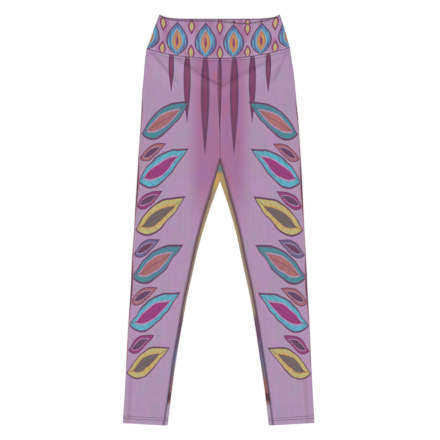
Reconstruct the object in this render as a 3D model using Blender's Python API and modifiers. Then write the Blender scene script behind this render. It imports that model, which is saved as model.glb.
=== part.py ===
"""High-waisted leggings laid flat, front side up.

Metres, +Z up. The garment lies on the XY plane: the waist is at +Y, the ankles at -Y, the wearer's
left leg at +X and the front faces +Z. Every piece that is cut and sewn is one object:

    waistband_front    the band's front, doubled cloth
    waistband_back     the band's back, its outer cloth
    waistband_facing   the inner cloth of the band's back, which shows over the front's upper edge
    leg_left           one panel wrapped round the leg, from the front seams to the back seams
    leg_right          the same for the other leg
    gusset             the kite folded over the crotch between both legs

A place on the garment is given by x, across from the centre line, and by its level, the distance
below the waistband's corners. Each surface is the cloth's outer face; Solidify adds the wall inwards.
"""

from typing import NamedTuple

import bmesh
import bpy
import numpy as np

MM = 0.001

# ---------------------------------------------------------------- sizes, in millimetres
LENGTH = 960.0          # waistband corners to the lowest point of the hem
CLOTH = 1.2             # one layer of knit
HEM_CLOTH = 1.8         # the turned-up hem
BAND_CLOTH = 2.4        # the doubled waistband
SEAM_GAP = 0.34         # between two pieces at a seam
LAYER_GAP = 0.3         # between layers that lie on each other

FOLD_RADIUS = 2.0       # outside radius of the cloth where it folds at the sides
SETTLE = 24.0           # how far from a fold the upper layer has come down
LAID_HEIGHT = 2.9       # top of the upper layer where it lies on the lower one
BAND_HEIGHT = 5.4       # top of the waistband
BAND_SIDE_HEIGHT = 3.9  # top of the waistband at its side seams
BAND_SIDE_DROP = 14.0   # how far in from the side seams the band comes down
LIFT_LENGTH = 85.0      # how far below the band the upper layer is still held up by it
LIFT_HEIGHT = 5.1       # top of the upper layer at the band

SEAM_LEVEL = 99.0       # the band's lower seam on the centre line
SEAM_RISE = 21.5        # how much higher that seam is at the sides
SEAM_POWER = 2.1
SEAM_HALF_WIDTH = 167.0  # from the centre line to the outer fold at that seam
BACK_TOP = 9.8          # upper edge of the band's back on the centre line
FRONT_TOP = 15.3        # upper edge of the band's front on the centre line
TOP_POWER = 7.0         # both edges run level and turn up to the corners
FRONT_SAG = 6.4         # the front edge hangs a little right of the centre
FRONT_SAG_AT = 55.0
FRONT_SAG_WIDTH = 40.0
FACING_SIDE_MARGIN = 16.0
FACING_TOP_MARGIN = 0.6

GUSSET_FRONT = 339.0    # the gusset's front corner, on the centre line
GUSSET_BACK = 360.0     # its back corner
CROTCH = 388.0          # where the legs part
GUSSET_END = 432.0      # its blunt ends, on the inner folds
GUSSET_BACK_STRIP = 6.0  # from the inner fold to the back edge at the blunt ends

HEM_LEVEL_INNER = 959.8
HEM_LEVEL_OUTER = 954.0
HEM_DEPTH = 18.0


class Width(NamedTuple):
    """One level of the flat garment, from the centre line to a leg's outer fold."""

    place: str
    level: float
    half: float


class Gap(NamedTuple):
    """One level between the legs: half the gap, and the back cloth that shows beside it."""

    place: str
    level: float
    half: float
    strip: float


class Crease(NamedTuple):
    """A soft ridge of the upper layer, from one end to the other."""

    place: str
    x0: float
    level0: float
    x1: float
    level1: float
    width: float
    height: float


WIDTHS = (
    Width("waist corner", 0, 141.0),
    Width("upper band", 35, 154.0),
    Width("band seam", 77, SEAM_HALF_WIDTH),
    Width("high hip", 119, 174.0),
    Width("hip", 175, 180.0),
    Width("seat", 245, 185.5),
    Width("rise", 339, 191.5),
    Width("upper thigh", 432, 197.0),
    Width("mid thigh", 526, 201.0),
    Width("knee", 619, 206.5),
    Width("below knee", 712, 212.5),
    Width("calf", 806, 217.5),
    Width("above ankle", 899, 222.0),
    Width("hem", 960, 225.0),
)

GAPS = (
    Gap("crotch", CROTCH, 0.0, 12.6),
    Gap("gusset end", GUSSET_END, 15.0, 11.4),
    Gap("upper thigh", 479, 30.2, 10.0),
    Gap("mid thigh", 526, 44.0, 8.5),
    Gap("knee", 619, 64.3, 7.8),
    Gap("below knee", 712, 82.8, 7.3),
    Gap("calf", 806, 98.2, 7.7),
    Gap("above ankle", 899, 111.0, 8.2),
    Gap("hem", 960, 118.6, 9.6),
)

CREASES = (
    Crease("drag line, right side seam", -160, 88, -117, 142, 7, 1.1),
    Crease("drag line, right hip", -98, 105, -50, 136, 13, 1.4),
    Crease("drag line, right of centre", -50, 136, -4, 168, 15, 1.2),
    Crease("drag line, left side", 161, 87, 146, 112, 7, 0.8),
    Crease("drag line, left hip", 112, 114, 64, 141, 13, 1.3),
    Crease("drag line, left of centre", 64, 141, 8, 170, 15, 1.1),
    Crease("outer ankle", -203, 826, -204, 892, 7, 0.9),
    Crease("inner knee", -98, 548, -80, 600, 12, 0.8),
    Crease("left thigh", 150, 470, 128, 540, 16, 0.9),
    Crease("left shin", 168, 740, 150, 800, 14, 0.8),
)

# ---------------------------------------------------------------- how finely the cloth is divided
FRONT_STEPS = 16        # from the centre line to a side, on the upper layer
BACK_STEPS = 6          # the same on the lower layer
FOLD_STEPS = 5
STRIP_STEPS = 2
BAND_ROWS = 5
FLAT_BAND_ROWS = 3
GUSSET_STEPS = 12
GUSSET_FRONT_STEPS = 3
GUSSET_BACK_STEPS = 2
HIP_LEVEL = 205.0       # above this level the rows are close, for the drag lines
HIP_ROWS = 10
RISE_ROWS = 5
LEG_ROWS = 18

COLOURS = {
    "waistband_front": (0.38, 0.26, 0.42),
    "waistband_back": (0.38, 0.26, 0.42),
    "waistband_facing": (0.36, 0.16, 0.32),
    "leg_left": (0.43, 0.29, 0.43),
    "leg_right": (0.43, 0.29, 0.43),
    "gusset": (0.48, 0.34, 0.12),
}
ROUGHNESS = 0.7


# ---------------------------------------------------------------- curves and heights
def smooth_curve(levels, values, at):
    """Read a smooth curve through (level, value): cubic pieces whose slope at each level is the
    slope of the parabola through it and its neighbours."""
    levels, values = np.asarray(levels, float), np.asarray(values, float)
    slopes = np.gradient(values, levels)
    at = np.clip(at, levels[0], levels[-1])
    i = np.clip(np.searchsorted(levels, at) - 1, 0, len(levels) - 2)
    step = levels[i + 1] - levels[i]
    t = (at - levels[i]) / step
    start = (1 + 2 * t) * (1 - t) ** 2 * values[i] + t * (1 - t) ** 2 * step * slopes[i]
    end = t**2 * (3 - 2 * t) * values[i + 1] - t**2 * (1 - t) * step * slopes[i + 1]
    return start + end


def half_width(level):
    """From the centre line to the outer fold."""
    return smooth_curve([w.level for w in WIDTHS], [w.half for w in WIDTHS], level)


def half_gap(level):
    """From the centre line to a leg's inner fold, 0 above the crotch."""
    below = smooth_curve([g.level for g in GAPS], [g.half for g in GAPS], level)
    return np.where(np.asarray(level) > CROTCH, below, 0.0)


def strip_width(level):
    """The back cloth that shows in front between the inner fold and the inseam."""
    return smooth_curve([g.level for g in GAPS], [g.strip for g in GAPS], level)


def between(start, end, t):
    """The value a share t of the way from start to end."""
    return start + (end - start) * t


def ease(t):
    """0 below 0, 1 above 1, and a smooth step from one to the other."""
    t = np.clip(t, 0.0, 1.0)
    return t * t * (3 - 2 * t)


def front_seam(level):
    """x of a leg's front edge: the centre seam, the gusset's front seam, then the inseam."""
    corner = half_gap(GUSSET_END) + strip_width(GUSSET_END)
    share = (level - GUSSET_FRONT) / (GUSSET_END - GUSSET_FRONT)
    inseam = half_gap(level) + strip_width(level)
    return np.where(level < GUSSET_END, corner * np.clip(share, 0, 1), inseam)


def back_seam(level):
    """x where a leg's back cloth ends: the centre seam, the gusset's back seam, then a line just
    short of the inner fold, from which the cloth goes on round to the front."""
    corner = half_gap(GUSSET_END) + GUSSET_BACK_STRIP
    share = (level - GUSSET_BACK) / (GUSSET_END - GUSSET_BACK)
    turning = half_gap(level) + GUSSET_BACK_STRIP
    return np.where(level < GUSSET_END, corner * np.clip(share, 0, 1), turning)


def seam_level(share):
    """Level of the band's lower seam at a share of the half width."""
    return SEAM_LEVEL - SEAM_RISE * np.abs(share) ** SEAM_POWER


def hem_level(share):
    """Level of the hem at a share of the way from the inner to the outer fold."""
    return between(HEM_LEVEL_INNER, HEM_LEVEL_OUTER, share)


def back_top_level(share):
    """Level of the upper edge of the band's back."""
    return BACK_TOP * (1 - np.abs(share) ** TOP_POWER)


def front_top_level(share):
    """Level of the upper edge of the band's front, which hangs a little on one side."""
    x = share * WIDTHS[0].half
    sag = FRONT_SAG * np.exp(-(((x - FRONT_SAG_AT) / FRONT_SAG_WIDTH) ** 2))
    return (FRONT_TOP + sag) * (1 - np.abs(share) ** TOP_POWER)


def crease_height(x, level):
    """Sum of the creases: each is a bell across its line, which dies away past both its ends."""
    total = np.zeros(np.broadcast(x, level).shape)
    for c in CREASES:
        along = np.array([c.x1 - c.x0, c.level1 - c.level0])
        length = np.hypot(*along)
        along = along / length
        run = (x - c.x0) * along[0] + (level - c.level0) * along[1]
        off = (level - c.level0) * along[0] - (x - c.x0) * along[1]
        past = np.maximum(np.maximum(-run, run - length), 0.0)
        total = total + c.height * np.exp(-(off**2 + past**2) / c.width**2)
    return total


def upper_height(x, level):
    """Top of the upper layer. It is two fold radii high at the folds, settles onto the lower layer
    away from them, and rises to the waistband."""
    to_outer = half_width(level) - np.abs(x)
    to_inner = np.hypot(
        np.maximum(np.abs(x) - half_gap(level), 0.0), np.maximum(CROTCH - level, 0.0)
    )
    to_fold = np.minimum(to_outer, to_inner) - FOLD_RADIUS
    settled = ease(to_fold / SETTLE)
    share = np.clip(np.abs(x) / half_width(level), 0, 1)
    lift = 1 - ease((level - seam_level(share)) / LIFT_LENGTH)
    hem = ease((level - hem_level(share) + 3 * HEM_DEPTH) / (2 * HEM_DEPTH))
    laid = between(LAID_HEIGHT, LIFT_HEIGHT, lift)
    laid = between(laid, 2 * FOLD_RADIUS, hem)
    return between(2 * FOLD_RADIUS, laid, settled) + settled * crease_height(x, level)


def columns(steps):
    """Shares of the way from the inner edge to the outer fold, closer towards the fold."""
    even = np.linspace(0, 1, steps + 1)
    return (even + np.sin(even * np.pi / 2))[None, :] / 2


def fold_arc(steps):
    """Angles inside a half turn from the top of a fold to its bottom, both ends left out."""
    return np.linspace(np.pi / 2, -np.pi / 2, steps + 1)[1:-1]


# ---------------------------------------------------------------- meshes
def place(x, level, z):
    """Points in metres from x, level and z in millimetres."""
    x, level, z = np.broadcast_arrays(x, level, z)
    return np.stack([x, LENGTH / 2 - level, z], axis=-1) * MM


def sheet(name, grid, wall, flip=False, missing=None, thick_rows=0, thick_wall=0.0):
    """One piece of cloth from a grid of outer points, (rows, columns, 3), with its wall inwards.

    missing says for each cell of the grid whether it has no cloth; flip turns the faces over;
    the last thick_rows rows get thick_wall instead of wall.
    """
    rows, columns = grid.shape[:2]
    mesh_data = bmesh.new()
    points = [[mesh_data.verts.new(p) for p in row] for row in grid]
    for i in range(rows - 1):
        for j in range(columns - 1):
            if missing is not None and missing[i, j]:
                continue
            corners = [points[i][j], points[i + 1][j], points[i + 1][j + 1], points[i][j + 1]]
            mesh_data.faces.new(corners[::-1] if flip else corners)
    bmesh.ops.delete(
        mesh_data, geom=[v for v in mesh_data.verts if not v.link_faces], context="VERTS"
    )
    mesh = bpy.data.meshes.new(name)
    mesh_data.to_mesh(mesh)
    mesh_data.free()
    piece = bpy.data.objects.new(name, mesh)
    solidify = piece.modifiers.new("wall", "SOLIDIFY")
    solidify.thickness = wall * MM
    solidify.offset = -1.0
    solidify.use_even_offset = True
    if thick_rows:
        weights = piece.vertex_groups.new(name="hem")
        first = grid[rows - thick_rows :, :, 1].max()
        hem = [v.index for v in mesh.vertices if v.co.y <= first + MM * 0.01]
        weights.add(hem, 1.0, "REPLACE")
        solidify.thickness = thick_wall * MM
        solidify.vertex_group = weights.name
        solidify.thickness_vertex_group = wall / thick_wall
    mesh.materials.append(knit(name))
    mesh.shade_smooth()
    mesh.set_sharp_from_angle(angle=np.radians(50))
    return piece


def knit(name):
    """The cloth of one piece."""
    material = bpy.data.materials.new(name + "_knit")
    material.use_nodes = True
    shader = material.node_tree.nodes["Principled BSDF"]
    shader.inputs["Base Color"].default_value = (*COLOURS[name], 1.0)
    shader.inputs["Roughness"].default_value = ROUGHNESS
    shader.inputs["Metallic"].default_value = 0.0
    return material


# ---------------------------------------------------------------- legs
def leg_levels():
    """Levels of a leg panel's rows on the centre line, from the band's seam to the hem.

    The gusset's corners, the crotch and the hem's fold each have a row of their own."""
    hip = np.linspace(SEAM_LEVEL, HIP_LEVEL, HIP_ROWS + 1)
    rise = np.linspace(HIP_LEVEL, GUSSET_FRONT, RISE_ROWS + 1)[1:]
    crotch = [GUSSET_BACK, between(GUSSET_BACK, CROTCH, 0.5), CROTCH]
    thigh = [between(CROTCH, GUSSET_END, 0.5)]
    leg = np.linspace(GUSSET_END, HEM_LEVEL_INNER - HEM_DEPTH, LEG_ROWS + 1)
    return np.concatenate([hip, rise, crotch, thigh, leg, [HEM_LEVEL_INNER]])


def leg_panel(side, name):
    """One leg panel, side 1 for the left leg and -1 for the right.

    Each row runs from the front seam out to the outer fold, round it, back along the floor and,
    below the gusset, round the inner fold to the inseam in front.
    """
    on_centre = leg_levels()[:, None]
    down = (on_centre - SEAM_LEVEL) / (HEM_LEVEL_INNER - SEAM_LEVEL)

    def level_at(share, inset=FOLD_RADIUS):
        """Levels of all rows at a share of the way to the outer fold, which lies inset away."""
        seam_share = share * (1 - inset / SEAM_HALF_WIDTH)
        return between(seam_level(seam_share) + SEAM_GAP / 2, hem_level(share), down)

    share = columns(FRONT_STEPS)
    level = level_at(share)
    start = front_seam(level) + SEAM_GAP / 2
    x = between(start, half_width(level) - FOLD_RADIUS, share)
    front = place(side * x, level, upper_height(side * x, level))

    turn = fold_arc(FOLD_STEPS)[None, :]
    inset = FOLD_RADIUS * (1 - np.cos(turn))
    level = level_at(np.ones_like(turn), inset)
    x = half_width(level) - inset
    outer = place(side * x, level, FOLD_RADIUS * (1 + np.sin(turn)))

    share = columns(BACK_STEPS)[:, ::-1]
    level = level_at(share)
    end = back_seam(level) + SEAM_GAP / 2
    back = place(side * between(end, half_width(level) - FOLD_RADIUS, share), level, 0.0)

    turn = np.concatenate([[-np.pi / 2], fold_arc(FOLD_STEPS)[::-1], [np.pi / 2]])[None, :]
    level = level_at(np.zeros_like(turn))
    x = half_gap(level) + FOLD_RADIUS * (1 - np.cos(turn))
    inner = place(side * x, level, FOLD_RADIUS * (1 + np.sin(turn)))

    share = np.linspace(0, 1, STRIP_STEPS + 1)[None, 1:]
    level = level_at(np.zeros_like(share))
    start = half_gap(level) + FOLD_RADIUS
    x = between(start, front_seam(level) - SEAM_GAP / 2, share)
    strip = place(side * x, level, upper_height(side * x, level))

    grid = np.concatenate([front, outer, back, inner, strip], axis=1)
    missing = np.zeros((grid.shape[0] - 1, grid.shape[1] - 1), bool)
    first_turned = front.shape[1] + outer.shape[1] + back.shape[1] - 1
    missing[on_centre[:-1, 0] < GUSSET_END, first_turned:] = True
    return sheet(name, grid, CLOTH, side < 0, missing, thick_rows=2, thick_wall=HEM_CLOTH)


# ---------------------------------------------------------------- gusset
def gusset():
    """The kite over the crotch. Each column runs from the front seam down to the inner fold, round
    it and up to the back seam. The fold turns from straight down on the centre line to straight
    sideways at the blunt ends, where the legs' own inner folds go on."""
    across = np.linspace(-1, 1, GUSSET_STEPS + 1)[:, None]
    side, reach = np.sign(across), np.abs(across)
    end = GUSSET_END - SEAM_GAP

    front_level = between(GUSSET_FRONT + SEAM_GAP, end, reach)
    front_x = np.maximum(front_seam(front_level) - SEAM_GAP / 2, 0.0) * (reach > 0)
    tip_level = between(CROTCH, end, reach)
    tip_x = half_gap(tip_level)
    back_level = between(GUSSET_BACK + SEAM_GAP, end, reach)
    back_x = np.maximum(back_seam(back_level) - SEAM_GAP / 2, 0.0) * (reach > 0)

    heading = np.pi / 2 * (1 - reach) ** 2
    in_x, in_level = np.cos(heading) * (reach > 0), -np.sin(heading)

    share = np.linspace(0, 1, GUSSET_FRONT_STEPS + 1)[None, :]
    x = side * between(front_x, tip_x + FOLD_RADIUS * in_x, share)
    level = between(front_level, tip_level + FOLD_RADIUS * in_level, share)
    front = place(x, level, upper_height(x, level))

    turn = fold_arc(FOLD_STEPS)[None, :]
    inset = FOLD_RADIUS * (1 - np.cos(turn))
    fold = place(
        side * (tip_x + in_x * inset), tip_level + in_level * inset, FOLD_RADIUS * (1 + np.sin(turn))
    )

    share = np.linspace(0, 1, GUSSET_BACK_STEPS + 1)[None, :]
    x = side * between(tip_x + FOLD_RADIUS * in_x, back_x, share)
    level = between(tip_level + FOLD_RADIUS * in_level, back_level, share)
    back = place(x, level, 0.0)
    return sheet("gusset", np.concatenate([front, fold, back], axis=1), CLOTH, flip=True)


# ---------------------------------------------------------------- waistband
def band_grid(top, steps, rows, margin=0.0, top_margin=0.0):
    """x and level of a band piece between its lower seam and its upper edge, from one side seam
    to the other. Its columns stand over those of the legs."""
    half = columns(steps)[0] * (1 - FOLD_RADIUS / SEAM_HALF_WIDTH)
    across = np.concatenate([[-1], -half[:0:-1], half, [1]])[None, :]
    across = across * (1 - margin / SEAM_HALF_WIDTH)
    up = np.linspace(0, 1, rows + 1)[:, None]
    level = between(seam_level(across) - SEAM_GAP / 2, top(across) + top_margin, up)
    return across * half_width(level), level


def waistband_front():
    """The doubled front of the band, which comes down onto the back's edges at the sides."""
    x, level = band_grid(front_top_level, FRONT_STEPS, BAND_ROWS)
    rise = ease((half_width(level) - np.abs(x)) / BAND_SIDE_DROP)
    z = between(BAND_SIDE_HEIGHT, BAND_HEIGHT, rise)
    return sheet("waistband_front", place(x, level, z), BAND_CLOTH, flip=True)


def waistband_back():
    """The outer cloth of the band's back, flat on the floor."""
    x, level = band_grid(back_top_level, BACK_STEPS, FLAT_BAND_ROWS)
    return sheet("waistband_back", place(x, level, 0.0), CLOTH)


def waistband_facing():
    """The inner cloth of the band's back, which lies on the outer one."""
    x, level = band_grid(
        back_top_level, BACK_STEPS, FLAT_BAND_ROWS, FACING_SIDE_MARGIN, FACING_TOP_MARGIN
    )
    top = 2 * CLOTH + LAYER_GAP
    return sheet("waistband_facing", place(x, level, top), CLOTH, flip=True)


# ---------------------------------------------------------------- the garment
def main():
    for leftover in list(bpy.data.objects):
        bpy.data.objects.remove(leftover, do_unlink=True)
    leggings = bpy.data.collections.new("leggings")
    bpy.context.scene.collection.children.link(leggings)
    pieces = [
        waistband_front(),
        waistband_back(),
        waistband_facing(),
        leg_panel(1, "leg_left"),
        leg_panel(-1, "leg_right"),
        gusset(),
    ]
    for piece in pieces:
        leggings.objects.link(piece)


main()
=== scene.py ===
"""High-waisted leggings laid flat, front side up: knit panels, seams, threads and leaf print, with
the floor, the light and the camera.

Metres, +Z up. The waist is at +Y, the ankles at -Y, the wearer's left leg at +X, and the front
faces +Z. A place on the garment is given in millimetres: x, across from the centre line, and
level, the distance below the waistband's corners.
"""

from typing import NamedTuple

import bpy
import numpy as np
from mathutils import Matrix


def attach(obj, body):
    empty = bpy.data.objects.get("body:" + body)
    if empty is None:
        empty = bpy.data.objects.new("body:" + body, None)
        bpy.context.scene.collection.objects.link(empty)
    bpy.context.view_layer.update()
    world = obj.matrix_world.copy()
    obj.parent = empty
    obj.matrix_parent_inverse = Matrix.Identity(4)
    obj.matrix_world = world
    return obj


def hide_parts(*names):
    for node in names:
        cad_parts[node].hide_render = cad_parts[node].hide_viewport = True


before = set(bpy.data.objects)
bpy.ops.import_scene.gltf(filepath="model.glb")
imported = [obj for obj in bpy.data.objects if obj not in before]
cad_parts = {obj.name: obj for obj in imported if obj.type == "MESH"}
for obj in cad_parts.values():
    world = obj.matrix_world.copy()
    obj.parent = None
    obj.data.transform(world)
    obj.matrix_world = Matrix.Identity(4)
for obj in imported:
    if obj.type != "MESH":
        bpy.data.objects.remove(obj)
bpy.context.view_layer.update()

bl_info = {
    "name": "Laid leggings",
    "version": (1, 0, 0),
    "blender": (4, 5, 0),
    "location": "View3D > Sidebar > Leggings",
    "description": "Leaf-print leggings laid flat, piece by piece",
    "category": "Object",
}

MM = 0.001

# ---------------------------------------------------------------- the cut, in millimetres
LENGTH = 960.0  # from the waistband's corners to the hem
FAR = LENGTH  # stands for the distance from something that isn't there
SEAM_GAP = 0.16  # between two pieces at a seam
FOLD_RADIUS = 2.0  # of the folds at both sides of a leg
SETTLE = 24.0  # from a fold to where the upper layer lies on the lower one
LAID_HEIGHT = 2.9  # top of the upper layer there
LIFT_LENGTH = 85.0  # over which the legs rise to the waistband
LIFT_HEIGHT = 5.1  # top of the legs at its seam
LAY_TURN = 8.0  # across the centre line, where one leg's lay goes over into the other's
FACES_DOWN = -0.3  # z of a normal below which the cloth lies on the floor

BACK_WALL = 1.2  # each layer of the waistband's back
LAYER_GAP = 0.3  # between the back and its facing
TURNED_GAP = 0.1  # the same where the facing turns down into the back's upper edge
BAND_HEIGHT = 5.4  # top of the waistband's front
BAND_SIDE_HEIGHT = 3.9  # the same towards its sides
BAND_EDGE_HEIGHT = 3.3  # and at their very edge
BAND_EDGE_THINNING = 0.5  # how much thinner the doubled cloth is there

SEAM_LEVEL = 99.0  # the waistband's lower seam on the centre line
SEAM_RISE = 21.5  # how much higher it is at the sides
SEAM_POWER = 2.1  # how flat its arch is
SEAM_HALF_WIDTH = 167.0
BACK_TOP = 9.8  # the upper edge of the waistband's back
FRONT_TOP = 15.3  # the upper edge of its front
TOP_POWER = 7.0  # how squarely both turn up to the corners
FRONT_SAG = 6.4  # how far the front's edge hangs down on one side
FRONT_SAG_AT = 55.0
FRONT_SAG_WIDTH = 40.0
FACING_SIDE_MARGIN = 16.0  # how far inside the waistband's folds its facing ends
FACING_TOP_MARGIN = 0.6

GUSSET_FRONT = 339.0  # the gusset's front point
GUSSET_BACK = 360.0  # its back point
CROTCH = 388.0  # its fold on the centre line
GUSSET_END = 432.0  # its blunt ends
GUSSET_BACK_STRIP = 6.0  # the part of a blunt end that lies at the back
GUSSET_BUNCHING = 0.35  # how much closer its columns stand at the blunt ends
GUSSET_FRONT_POWER = 1.6  # and its rows at the front and the back seams
GUSSET_BACK_POWER = 1.4

HEM_LEVEL_INNER = 959.8
HEM_LEVEL_OUTER = 954.0
HEM_DEPTH = 18.0
HEM_ROWS = (11.6, 17.2)  # the two rows of hem stitches, from the hem's edge
COVER_ROW = 5.6  # the row of stitches below the waistband's seam

GROOVE_WIDTH = 0.9  # of the groove at a seam
WELT_AT, WELT_WIDTH = 3.4, 1.9  # the raised allowance beside it
BAND_WELT_AT, BAND_WELT_WIDTH = 3.0, 1.6  # the same below the waistband
BACK_GROOVE_DEPTH, BACK_GROOVE_WIDTH = 0.35, 0.8  # at the lower seam of the waistband's back
ROW_GROOVE_WIDTH = 0.75  # of the groove that a row of stitches pulls
ROW_SHOULDER, ROW_SHOULDER_WIDTH = 0.35, 2.4  # the soft shoulders beside it, by its depth
ROLL_SHARE = 0.96  # how much of a half round a folded edge is rolled to
ROLL_AT_FOLD = 0.15  # the share of that which is left where the hem meets the outer fold

STITCH_SINK, STITCH_SINK_BELOW = 0.16, 0.36  # how deep stitches lie in the upper and lower layer
THREAD_FLATNESS = 0.7  # height of a stitch by its width
ROW_START, ROW_ENDS = 1.5, 2.0  # from a row's end to the first stitch, and both ends together
BESIDE_ROW = 0.4  # how far above and below a row the cloth's slope is read
HALF_CHORD = 0.5  # and how far along it a stitch's direction


class Width(NamedTuple):
    """One level of the flat garment, from the centre line to a leg's outer fold."""

    level: float
    half: float


class Gap(NamedTuple):
    """One level between the legs: half the gap, and the back cloth that shows beside it on the
    right leg and on the left leg."""

    level: float
    half: float
    strip_right: float
    strip_left: float


class Crease(NamedTuple):
    """A soft ridge, or a trough where height is below 0, from one end to the other. It falls off
    over width, and where steep is given over steep on the side towards the waist."""

    x0: float
    level0: float
    x1: float
    level1: float
    width: float
    height: float
    steep: float = 0.0


class Lay(NamedTuple):
    """How far the cloth lies from its even place at one level. Sideways: the right leg's outer and
    inner fold, the left leg's inner and outer fold. Downwards: the right side, the middle, the
    left side."""

    level: float
    outer_right: float
    inner_right: float
    inner_left: float
    outer_left: float
    down_right: float = 0.0
    down_middle: float = 0.0
    down_left: float = 0.0


class Fade(NamedTuple):
    """Where something begins beside an edge, and over what distance it comes in."""

    start: float
    length: float

    def at(self, distance):
        """Its share, from 0 to 1, at a distance from the edge."""
        return ease((distance - self.start) / self.length)


WIDTHS = (
    Width(0, 141.0),
    Width(35, 154.0),
    Width(77, SEAM_HALF_WIDTH),
    Width(119, 174.0),
    Width(175, 180.0),
    Width(245, 185.5),
    Width(339, 191.5),
    Width(432, 197.0),
    Width(526, 201.0),
    Width(619, 206.5),
    Width(712, 212.5),
    Width(806, 217.5),
    Width(899, 222.0),
    Width(960, 225.0),
)

GAPS = (
    Gap(CROTCH, 0.0, 12.6, 12.6),
    Gap(GUSSET_END, 15.0, 11.2, 11.5),
    Gap(479, 30.2, 9.8, 10.2),
    Gap(526, 44.0, 8.2, 8.8),
    Gap(619, 64.3, 6.7, 8.8),
    Gap(712, 82.8, 6.4, 8.3),
    Gap(806, 98.2, 6.4, 9.0),
    Gap(899, 111.0, 7.2, 9.2),
    Gap(960, 118.6, 9.7, 9.7),
)

# drag lines from the side seams to the centre, then the broad ones down the legs
FORM_CREASES = (
    Crease(-160, 88, -117, 142, 7, 1.1),
    Crease(-98, 105, -50, 136, 13, 1.4),
    Crease(-50, 136, -4, 168, 15, 1.2),
    Crease(161, 87, 141, 132, 7, 0.8),
    Crease(112, 114, 64, 141, 13, 1.3),
    Crease(64, 141, 8, 170, 15, 1.1),
    Crease(-203, 826, -204, 892, 7, 0.9),
    Crease(-98, 548, -80, 600, 12, 0.8),
    Crease(150, 470, 128, 540, 16, 0.9),
    Crease(168, 740, 150, 800, 14, 0.8),
)

# creases of the upper layer, over the form above: the drag lines, then soft ones down the legs
FINE_CREASES = (
    Crease(-158, 97, -112, 150, 18, 2.5, 4.6),
    Crease(-101, 107, -64, 132, 18, 2.2, 5.5),
    Crease(-44, 146, -10, 163, 15, 2.8, 4.0),
    Crease(163, 85, 140, 137, 22, 4.6, 6.5),
    Crease(138, 106, 116, 122, 6, 1.0, 4.0),
    Crease(139, 164, 136, 228, 25, 4.4),
    Crease(102, 118, 66, 136, 15, 1.8, 5.0),
    Crease(105, 135, 90, 143, 8, 0.6, 3.2),
    Crease(34, 152, 8, 171, 14, 2.4, 4.0),
    Crease(-169, 118, -174, 196, 5, -0.4),
    Crease(170, 112, 176, 205, 5, -0.4),
    Crease(-134, 176, -78, 208, 12, 0.5),
    Crease(138, 168, 88, 200, 11, 0.5),
    Crease(-30, 322, -58, 300, 9, 0.5),
    Crease(28, 318, 62, 296, 9, 0.5),
    Crease(-40, 404, -86, 384, 10, 0.6),
    Crease(42, 408, 92, 382, 10, 0.6),
    Crease(-182, 420, -150, 446, 12, 0.5),
    Crease(186, 560, 160, 590, 12, 0.5),
    Crease(-71, 567, -95, 587, 7, 0.7, 3.5),
    Crease(-196, 640, -168, 668, 12, 0.5),
    Crease(-112, 690, -140, 716, 10, 0.5),
    Crease(108, 664, 138, 692, 10, 0.5),
    Crease(-208, 846, -205, 934, 5, -0.5),
    Crease(-194, 856, -192, 925, 8, 0.4),
    Crease(206, 870, 207, 930, 5, -0.5),
    Crease(-146, 884, -170, 902, 9, 0.4),
    Crease(150, 896, 176, 880, 9, 0.4),
)

# folds of the lower layer, which lift it a little off the floor
UNDER_CREASES = (
    Crease(-158, 92, -118, 138, 8, 0.6),
    Crease(158, 92, 122, 134, 8, 0.6),
    Crease(-104, 120, -52, 152, 9, 0.5),
    Crease(98, 118, 40, 158, 9, 0.5),
    Crease(-36, 372, -84, 352, 9, 0.5),
    Crease(34, 376, 90, 348, 9, 0.5),
    Crease(-60, 402, -118, 396, 10, 0.4),
    Crease(66, 412, 120, 400, 9, 0.4),
    Crease(-96, 620, -150, 604, 9, 0.5),
    Crease(-104, 640, -166, 634, 10, 0.4),
    Crease(98, 616, 156, 606, 9, 0.5),
    Crease(108, 646, 160, 634, 9, 0.4),
    Crease(-140, 842, -188, 858, 9, 0.4),
    Crease(142, 850, 192, 838, 9, 0.4),
)

BAND_CREASES = (
    Crease(-112, 22, -118, 64, 6.0, 0.25),
    Crease(-38, 30, -34, 78, 9.0, -0.22),
    Crease(64, 28, 58, 84, 8.0, 0.25),
    Crease(128, 26, 136, 60, 6.0, -0.22),
)

# the cloth isn't laid quite evenly; above the crotch both inner values are the centre line's
LAYS = (
    Lay(0, 0.0, -0.4, -0.4, -1.8, 0.9, 0.0, -0.2),
    Lay(30, -0.2, -0.2, -0.2, -3.5, -0.2, 0.3, -2.0),
    Lay(62, -1.2, 0.0, 0.0, -4.5, 2.2, 1.6, -1.2),
    Lay(78, -3.3, 0.3, 0.3, -4.4, 3.2, 2.1, -1.0),
    Lay(99, -3.0, 0.6, 0.6, -4.6, 4.2, 2.6, -0.8),
    Lay(138, -0.7, 1.2, 1.2, -3.7, 1.6, 1.2, -0.4),
    Lay(180, -0.2, 1.0, 1.0, -3.4),
    Lay(236, 1.9, 0.8, 0.8, -2.1),
    Lay(335, 2.2, 1.6, 1.6, -1.3),
    Lay(CROTCH, 2.3, 1.5, 1.5, -1.2),
    Lay(440, 2.2, 0.5, 1.9, -1.5),
    Lay(500, 1.5, 0.4, 0.8, -0.9),
    Lay(563, 0.5, -0.1, -1.1, -0.1),
    Lay(640, 2.1, -1.2, 0.4, -0.9),
    Lay(740, 2.3, -0.5, -0.4, -1.3),
    Lay(790, 2.4, -1.1, -0.9, -1.5),
    Lay(890, 2.8, -0.4, 0.0, -1.0, 0.0, -0.6, -1.0),
    Lay(960, 1.9, 0.2, -0.4, -0.3, 0.4, -1.4, -1.9),
)

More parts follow.
